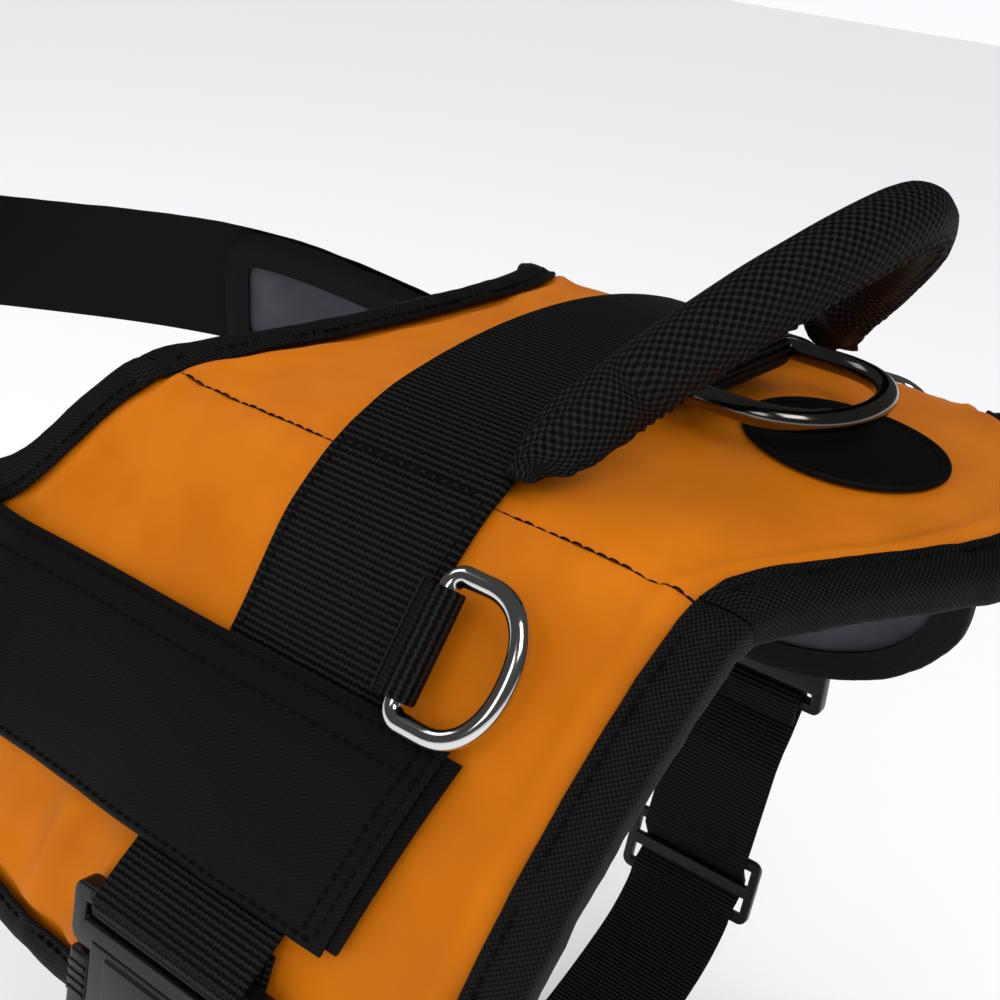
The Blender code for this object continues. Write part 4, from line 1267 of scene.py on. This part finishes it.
def thread(points, ups, radius):
    """Ring points of one stitch along its middle line."""
    rings = []
    for i, point in enumerate(points):
        along = direction(points, i)
        across = along.cross(ups[i]).normalized()
        up = across.cross(along)
        thin = radius * (0.55 if i in (0, len(points) - 1) else 1.0)
        rings.append([point + (across * math.cos(a) + up * math.sin(a)) * thin for a in STITCH_ANGLES])
    return rings


def stitch_row(line, height, length=STITCH, pitch=STITCH_PITCH, radius=THREAD_R):
    """Stitches along a line of pattern places, each dipping into the cloth at its ends."""
    fine = even_line(line, pitch / 8.0)
    whole = max(round(8.0 * length / pitch), 5)
    rows = []
    for start in range(0, len(fine) - 9, 8):
        points = []
        ups = []
        for k, lift in enumerate(STITCH_LIFT):
            q, y = fine[start].lerp(fine[min(start + whole, len(fine) - 1)], k / 5)
            base = on_body(q, y, height(q, y))
            up = (on_body(q, y, height(q, y) + 0.001) - base).normalized()
            points.append(base + up * lift)
            ups.append(up)
        rows.append(thread(points, ups, radius))
    return rows


def make_stitches(name, rows):
    """One piece of many stitches."""
    points = []
    faces = []
    for rings in rows:
        faces += tube_faces(len(rings[0]), len(rings), len(points))
        points += [point for ring in rings for point in ring]
    mesh = bpy.data.meshes.new(name)
    mesh.from_pydata(points, [], faces)
    wear(finish_piece(name, mesh, "thread"), "harness")


def inside_line(line, inset):
    """Line inside an outline at a distance."""
    moved = []
    for i in range(1, len(line) - 1):
        along = direction(line, i)
        moved.append(line[i] + Vector((-along.y, along.x)) * inset)
    return moved


def strap_thread_height(q, y):
    """Outer face of the chest strap for its stitches."""
    return strap_high(q, y) + 0.0001


def web_thread_height(q, y):
    """Outer face of the girth webbing for its stitches."""
    return WEB_LIFT + WEBBING + arch(q)


def crease_rows():
    """Stitches along the creases, before and behind the webbing."""
    rows = []
    for _, side in SIDES:
        row = side * CREASE_ROW
        inner = side * (HALF_TOP - 0.0022)
        beside = WEB_HALF + 0.0008
        for y0, y1 in ((HEM_FRONT, drift(row) - beside), (drift(row) + beside, HEM_REAR)):
            line = straight(row, y0, row, y1)
            rows += stitch_row(line, lambda q, y: fold(inner, y) - 0.0004, 0.0029, STITCH_PITCH, 0.00028)
    return rows


def strap_rows():
    """Stitches along the chest strap and across its slanted ends."""
    rows = []
    (upper_q, upper_y), (lower_q, lower_y) = STRIP_END
    front_y = BEND_Y - CHEST_LENGTH + 0.004
    outer, inner = STRAP_STITCHES
    for _, side in SIDES:
        for q, y in ((upper_q + outer, upper_y), (lower_q - outer, lower_y), (upper_q + inner, upper_y)):
            rows += stitch_row(straight(side * q, y - 0.003, side * q, front_y), strap_thread_height)
        for inset in (0.0024, 0.0060):
            line = straight(upper_q + outer, upper_y - inset, lower_q - outer, lower_y - inset)
            rows += stitch_row([(side * q, y) for q, y in line], strap_thread_height)
    return rows


def webbing_rows():
    """Stitches along the webbing's edges on the flanks and across it at the creases."""
    rows = []
    for _, side in SIDES:
        for edge in (-1, 1):
            places = [0.087 + 0.0012 * i for i in range(42)]
            line = [(side * q, drift(q) + edge * (WEB_HALF - 0.0026)) for q in places]
            rows += stitch_row(line, web_thread_height)
        row = side * CREASE_ROW
        reach = WEB_HALF - 0.0016
        line = straight(row, drift(row) - reach, row, drift(row) + reach)
        rows += stitch_row(line, web_thread_height, 0.0027)
    return rows


def binding_rows():
    """Stitches along the bindings, a little inside the cut edges."""
    lines = []
    half = HALF_TOP - SEAM_HALF
    places = [half * (i / 35 - 1.0) for i in range(71)]
    for column, inset in ((1, BINDING_INSET), (2, -BINDING_INSET)):
        lines.append([(q, top_edge(q, column) + inset) for q in places])
    for _, side in SIDES:
        lines.append([(side * point.x, point.y) for point in inside_line(SIDE_OUTLINE, BINDING_INSET)])
    rows = []
    for line in lines:
        rows += stitch_row(line, lambda q, y: 0.0021, STITCH, 0.0033)
    return rows


def patch_rows():
    """Stitches in the groove inside the patch's rim."""
    radius = 0.885 * PATCH_R
    angles = [math.radians(3 * k) for k in range(121)]
    circle = [(radius * math.cos(a), PATCH_Y + radius * math.sin(a)) for a in angles]
    return stitch_row(circle, lambda q, y: WEB_LIFT + PATCH_THICK - 0.0002, 0.0020, 0.0026, 0.0003)


def make_all_stitches():
    """Stitches of the creases, chest strap, webbing, bindings and patch."""
    make_stitches("crease_stitches", crease_rows())
    make_stitches("strap_stitches", strap_rows())
    make_stitches("webbing_stitches", webbing_rows())
    make_stitches("binding_stitches", binding_rows())
    make_stitches("patch_stitches", patch_rows())


# Materials


def feed(tree, socket, value):
    """Link a value to a socket, or set it there."""
    if isinstance(value, bpy.types.NodeSocket):
        tree.links.new(value, socket)
    else:
        socket.default_value = value


def node(tree, kind, **inputs):
    """Add a shader node and feed its named inputs."""
    made = tree.nodes.new("ShaderNode" + kind)
    for label, value in inputs.items():
        feed(tree, made.inputs[label.replace("_", " ")], value)
    return made


def calculate(tree, operation, *values):
    """Result of a maths node."""
    made = tree.nodes.new("ShaderNodeMath")
    made.operation = operation
    for socket, value in zip(made.inputs, values):
        feed(tree, socket, value)
    return made.outputs[0]


def times(tree, value, factor):
    """Product of two values."""
    return calculate(tree, "MULTIPLY", value, factor)


def total(tree, first, *others):
    """Sum of values."""
    for value in others:
        first = calculate(tree, "ADD", first, value)
    return first


def wave(tree, coordinate, pitch):
    """Sine wave of a coordinate in metres."""
    return calculate(tree, "SINE", times(tree, coordinate, 2.0 * math.pi / pitch))


def pattern_axes(tree):
    """The pattern map, its first axis and its second axis."""
    source = tree.nodes.new("ShaderNodeUVMap")
    source.uv_map = "pattern"
    parts = node(tree, "SeparateXYZ", Vector=source.outputs["UV"])
    return source.outputs["UV"], parts.outputs["X"], parts.outputs["Y"]


def grain(tree, vector, scale, detail=3.0):
    """Noise over a map in metres."""
    made = node(tree, "TexNoise", Vector=vector, Scale=scale, Detail=detail, Roughness=0.55)
    return made.outputs["Fac"]


def ramp(tree, value, low, high):
    """Spread a value from 0 to 1 between low and high, with a smooth step."""
    made = node(tree, "MapRange", Value=value, From_Min=low, From_Max=high)
    made.interpolation_type = "SMOOTHSTEP"
    return made.outputs["Result"]


def tint(tree, shader, share, dark, light):
    """Base colour between two colours."""
    made = tree.nodes.new("ShaderNodeMix")
    made.data_type = "RGBA"
    tree.links.new(share, made.inputs["Factor"])
    made.inputs[6].default_value = (*dark, 1.0)
    made.inputs[7].default_value = (*light, 1.0)
    tree.links.new(made.outputs[2], shader.inputs["Base Color"])


def surface(name, roughness, colour=(0.8, 0.8, 0.8), metallic=0.0, sheen=0.0, specular=0.5):
    """New material with its tree and its main shader."""
    made = bpy.data.materials.new(name)
    made.use_nodes = True
    shader = made.node_tree.nodes["Principled BSDF"]
    shader.inputs["Base Color"].default_value = (*colour, 1.0)
    shader.inputs["Roughness"].default_value = roughness
    shader.inputs["Metallic"].default_value = metallic
    shader.inputs["Sheen Weight"].default_value = sheen
    shader.inputs["Sheen Roughness"].default_value = 0.45
    shader.inputs["Specular IOR Level"].default_value = specular
    return made, made.node_tree, shader


def relief(tree, shader, height, distance, strength=1.0):
    """Bump of a height from 0 to 1 over a distance in metres."""
    made = node(tree, "Bump", Height=height, Distance=distance, Strength=strength)
    tree.links.new(made.outputs["Normal"], shader.inputs["Normal"])


def uneven(tree, shader, vector, scale, spread, roughness):
    """Roughness that varies about a middle value."""
    smear = times(tree, grain(tree, vector, scale), spread)
    tree.links.new(total(tree, smear, roughness - 0.5 * spread), shader.inputs["Roughness"])


def satin(name, dark, light, roughness, sheen):
    """Fine coated satin with soft cloudy tone and a faint twill."""
    made, tree, shader = surface(name, roughness, sheen=sheen, specular=0.05)
    uv, u, v = pattern_axes(tree)
    tint(tree, shader, ramp(tree, grain(tree, uv, 26.0), 0.30, 0.72), dark, light)
    weave = wave(tree, total(tree, u, v), 0.00075)
    cross = wave(tree, calculate(tree, "SUBTRACT", u, v), 0.00105)
    height = total(tree, times(tree, weave, 0.5), times(tree, cross, 0.35), grain(tree, uv, 900.0, 2.0))
    uneven(tree, shader, uv, 60.0, 0.16, roughness)
    relief(tree, shader, height, 0.00003, 0.4)
    return made


def webbing_weave(tree, u, v, rib):
    """Ribs across the run of a webbing and columns of yarn along it."""
    shift = times(tree, wave(tree, v, 2.0 * WEB_YARN), 0.05 * rib)
    ribs = wave(tree, total(tree, u, shift), rib)
    columns = wave(tree, v, WEB_YARN)
    return total(tree, times(tree, ribs, 0.40), times(tree, columns, 0.14))


def basket_weave(tree, u, v, pitch):
    """Coarse weave of crossing yarns."""
    return times(tree, times(tree, wave(tree, u, pitch * 1.414), wave(tree, v, pitch * 1.414)), 0.5)


def twill_weave(tree, u, v, pitch):
    """Fine twill with slanted lines."""
    slant = wave(tree, total(tree, u, times(tree, v, 0.6)), pitch)
    yarn = wave(tree, calculate(tree, "SUBTRACT", v, times(tree, u, 0.2)), 0.8 * pitch)
    return total(tree, times(tree, slant, 0.20), times(tree, yarn, 0.20))


def woven(name, weave, pitch, colours, spread, depth, roughness, level, fibre, specular=0.10):
    """Cloth with a raised weave and fine fibre, with painted shade: darker in the weave's hollows, paler where
    the yarn stands up.
    """
    made, tree, shader = surface(name, roughness, specular=specular)
    uv, u, v = pattern_axes(tree)
    scale, share = fibre
    hairs = times(tree, grain(tree, uv, scale, 2.0), share)
    height = total(tree, weave(tree, u, v, pitch), level, hairs)
    # Painted shade: the weave's height sets the base colour, dark in the hollows and pale on the raised yarn.
    tint(tree, shader, ramp(tree, height, *spread), *colours)
    relief(tree, shader, height, depth)
    return made


def polished(name, colour, roughness):
    """Plated metal with faint smears."""
    made, tree, shader = surface(name, roughness, colour, metallic=1.0)
    uneven(tree, shader, node(tree, "TexCoord").outputs["Object"], 180.0, 0.10, roughness)
    return made


def moulded(name, colour, roughness, scale, depth, specular=0.3):
    """Moulded plastic or rubber with a fine grained face."""
    made, tree, shader = surface(name, roughness, colour, specular=specular)
    place = node(tree, "TexCoord").outputs["Object"]
    relief(tree, shader, grain(tree, place, scale, 2.0), depth, 0.6)
    return made


# Colour pairs of the woven blacks: the first is painted shade in the weave's hollows, the second is the yarn's
# own black.
BINDING_SHADE_AND_YARN = (0.0012, 0.0012, 0.0013), (0.0105, 0.0105, 0.0111)
WEBBING_SHADE_AND_YARN = (0.0006, 0.0006, 0.0006), (0.0125, 0.0125, 0.0130)
STRAP_SHADE_AND_YARN = (0.0012, 0.0012, 0.0012), (0.0052, 0.0052, 0.0054)
COVER_SHADE_AND_YARN = (0.0007, 0.0007, 0.0008), (0.0150, 0.0150, 0.0162)
# spread is the range of weave height over which the painted hollow shade turns into the yarn's colour.
BASKET = {"spread": (0.22, 0.92), "roughness": 0.66, "level": 0.35, "fibre": (2400.0, 0.3)}
RIBBED = {"spread": (0.32, 1.10), "roughness": 0.62, "level": 0.5, "fibre": (2600.0, 0.25)}
TWILL = {"spread": (0.1, 1.1), "roughness": 0.6, "level": 0.4, "fibre": (3000.0, 0.3), "specular": 0.09}
FINISHES = {
    "orange_satin": satin("orange satin", (0.465, 0.122, 0.0028), (0.555, 0.149, 0.0040), 0.50, 0.0),
    "grey_lining": satin("grey lining", (0.046, 0.043, 0.052), (0.070, 0.066, 0.078), 0.45, 0.06),
    "black_binding": woven("black binding", basket_weave, 0.0009, BINDING_SHADE_AND_YARN, depth=0.00028, **BASKET),
    "black_webbing": woven("black webbing", webbing_weave, 0.0017, WEBBING_SHADE_AND_YARN, depth=0.00060, **RIBBED),
    "black_strap": woven("black strap", twill_weave, 0.0010, STRAP_SHADE_AND_YARN, depth=0.00012, **TWILL),
    "black_cover": woven("black cover", basket_weave, 0.0017, COVER_SHADE_AND_YARN, depth=0.00060, **BASKET),
    "patch_rubber": moulded("patch rubber", (0.0036, 0.0036, 0.0037), 0.60, 1800.0, 0.00003, 0.10),
    "buckle_plastic": moulded("buckle plastic", (0.0040, 0.0040, 0.0042), 0.38, 2200.0, 0.00003),
    "bright_nickel": polished("bright nickel", (0.66, 0.65, 0.63), 0.11),
    "dark_nickel": polished("dark nickel", (0.16, 0.150, 0.14), 0.15),
    "thread": moulded("thread", (0.0028, 0.0028, 0.0029), 0.80, 5000.0, 0.00008, 0.06),
}


# Stage


def make_light(name, place, aim, size, power, colour):
    """Square lamp at a place, aimed at a point."""
    data = bpy.data.lights.new(name, "AREA")
    data.shape = "SQUARE"
    data.size = size
    data.energy = power
    data.color = colour
    lamp = bpy.data.objects.new(name, data)
    lamp.location = place
    lamp.rotation_euler = (Vector(aim) - Vector(place)).to_track_quat("-Z", "Y").to_euler()
    bpy.context.scene.collection.objects.link(lamp)


def make_stage():
    """Pale floor, studio lights and the sky."""
    bpy.ops.object.select_all(action="DESELECT")
    bpy.ops.mesh.primitive_plane_add(size=FLOOR_SIZE, location=(0.0, 0.0, FLOOR_Z))
    floor = bpy.context.active_object
    floor.name = "floor"
    floor.data.materials.append(surface("pale paper", 0.9, FLOOR_COLOUR)[0])
    for light in LIGHTS:
        make_light(*light)
    world = bpy.data.worlds.new("studio")
    bpy.context.scene.world = world
    world.use_nodes = True
    tree = world.node_tree
    sky = tree.nodes["Background"]
    sky.inputs["Color"].default_value = (*SKY_COLOUR, 1.0)
    ray = tree.nodes.new("ShaderNodeLightPath")
    seen = times(tree, ray.outputs["Is Camera Ray"], SKY_SEEN)
    mirrored = times(tree, ray.outputs["Is Glossy Ray"], SKY_MIRRORED)
    tree.links.new(total(tree, seen, mirrored, SKY_STRENGTH), sky.inputs["Strength"])
    bpy.context.scene.view_settings.view_transform = "Standard"


def make_camera():
    """Camera at the photo's viewing angle, behind and above the left side."""
    level = math.cos(CAMERA_ELEVATION)
    rise = math.sin(CAMERA_ELEVATION)
    back = Vector((level * math.sin(CAMERA_AZIMUTH), -level * math.cos(CAMERA_AZIMUTH), rise))
    across = (-back).cross(Vector((0.0, 0.0, 1.0))).normalized()
    top = across.cross(-back)
    right = math.cos(CAMERA_ROLL) * across + math.sin(CAMERA_ROLL) * top
    up = -math.sin(CAMERA_ROLL) * across + math.cos(CAMERA_ROLL) * top
    view = Matrix((right, up, back)).transposed().to_4x4()
    view.translation = CAMERA_TARGET + back * CAMERA_DISTANCE
    data = bpy.data.cameras.new("camera")
    data.lens = CAMERA_LENS
    data.sensor_width = SENSOR
    data.clip_start = 0.02
    camera = bpy.data.objects.new("camera", data)
    camera.matrix_world = view
    bpy.context.scene.collection.objects.link(camera)
    bpy.context.scene.camera = camera


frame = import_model()
make_saddle()
make_bindings()
make_girth()
make_belly()
make_chest_strap()
make_handle()
make_rings()
make_patch()
make_buckles()
make_sliders()
make_all_stitches()
make_stage()
make_camera()
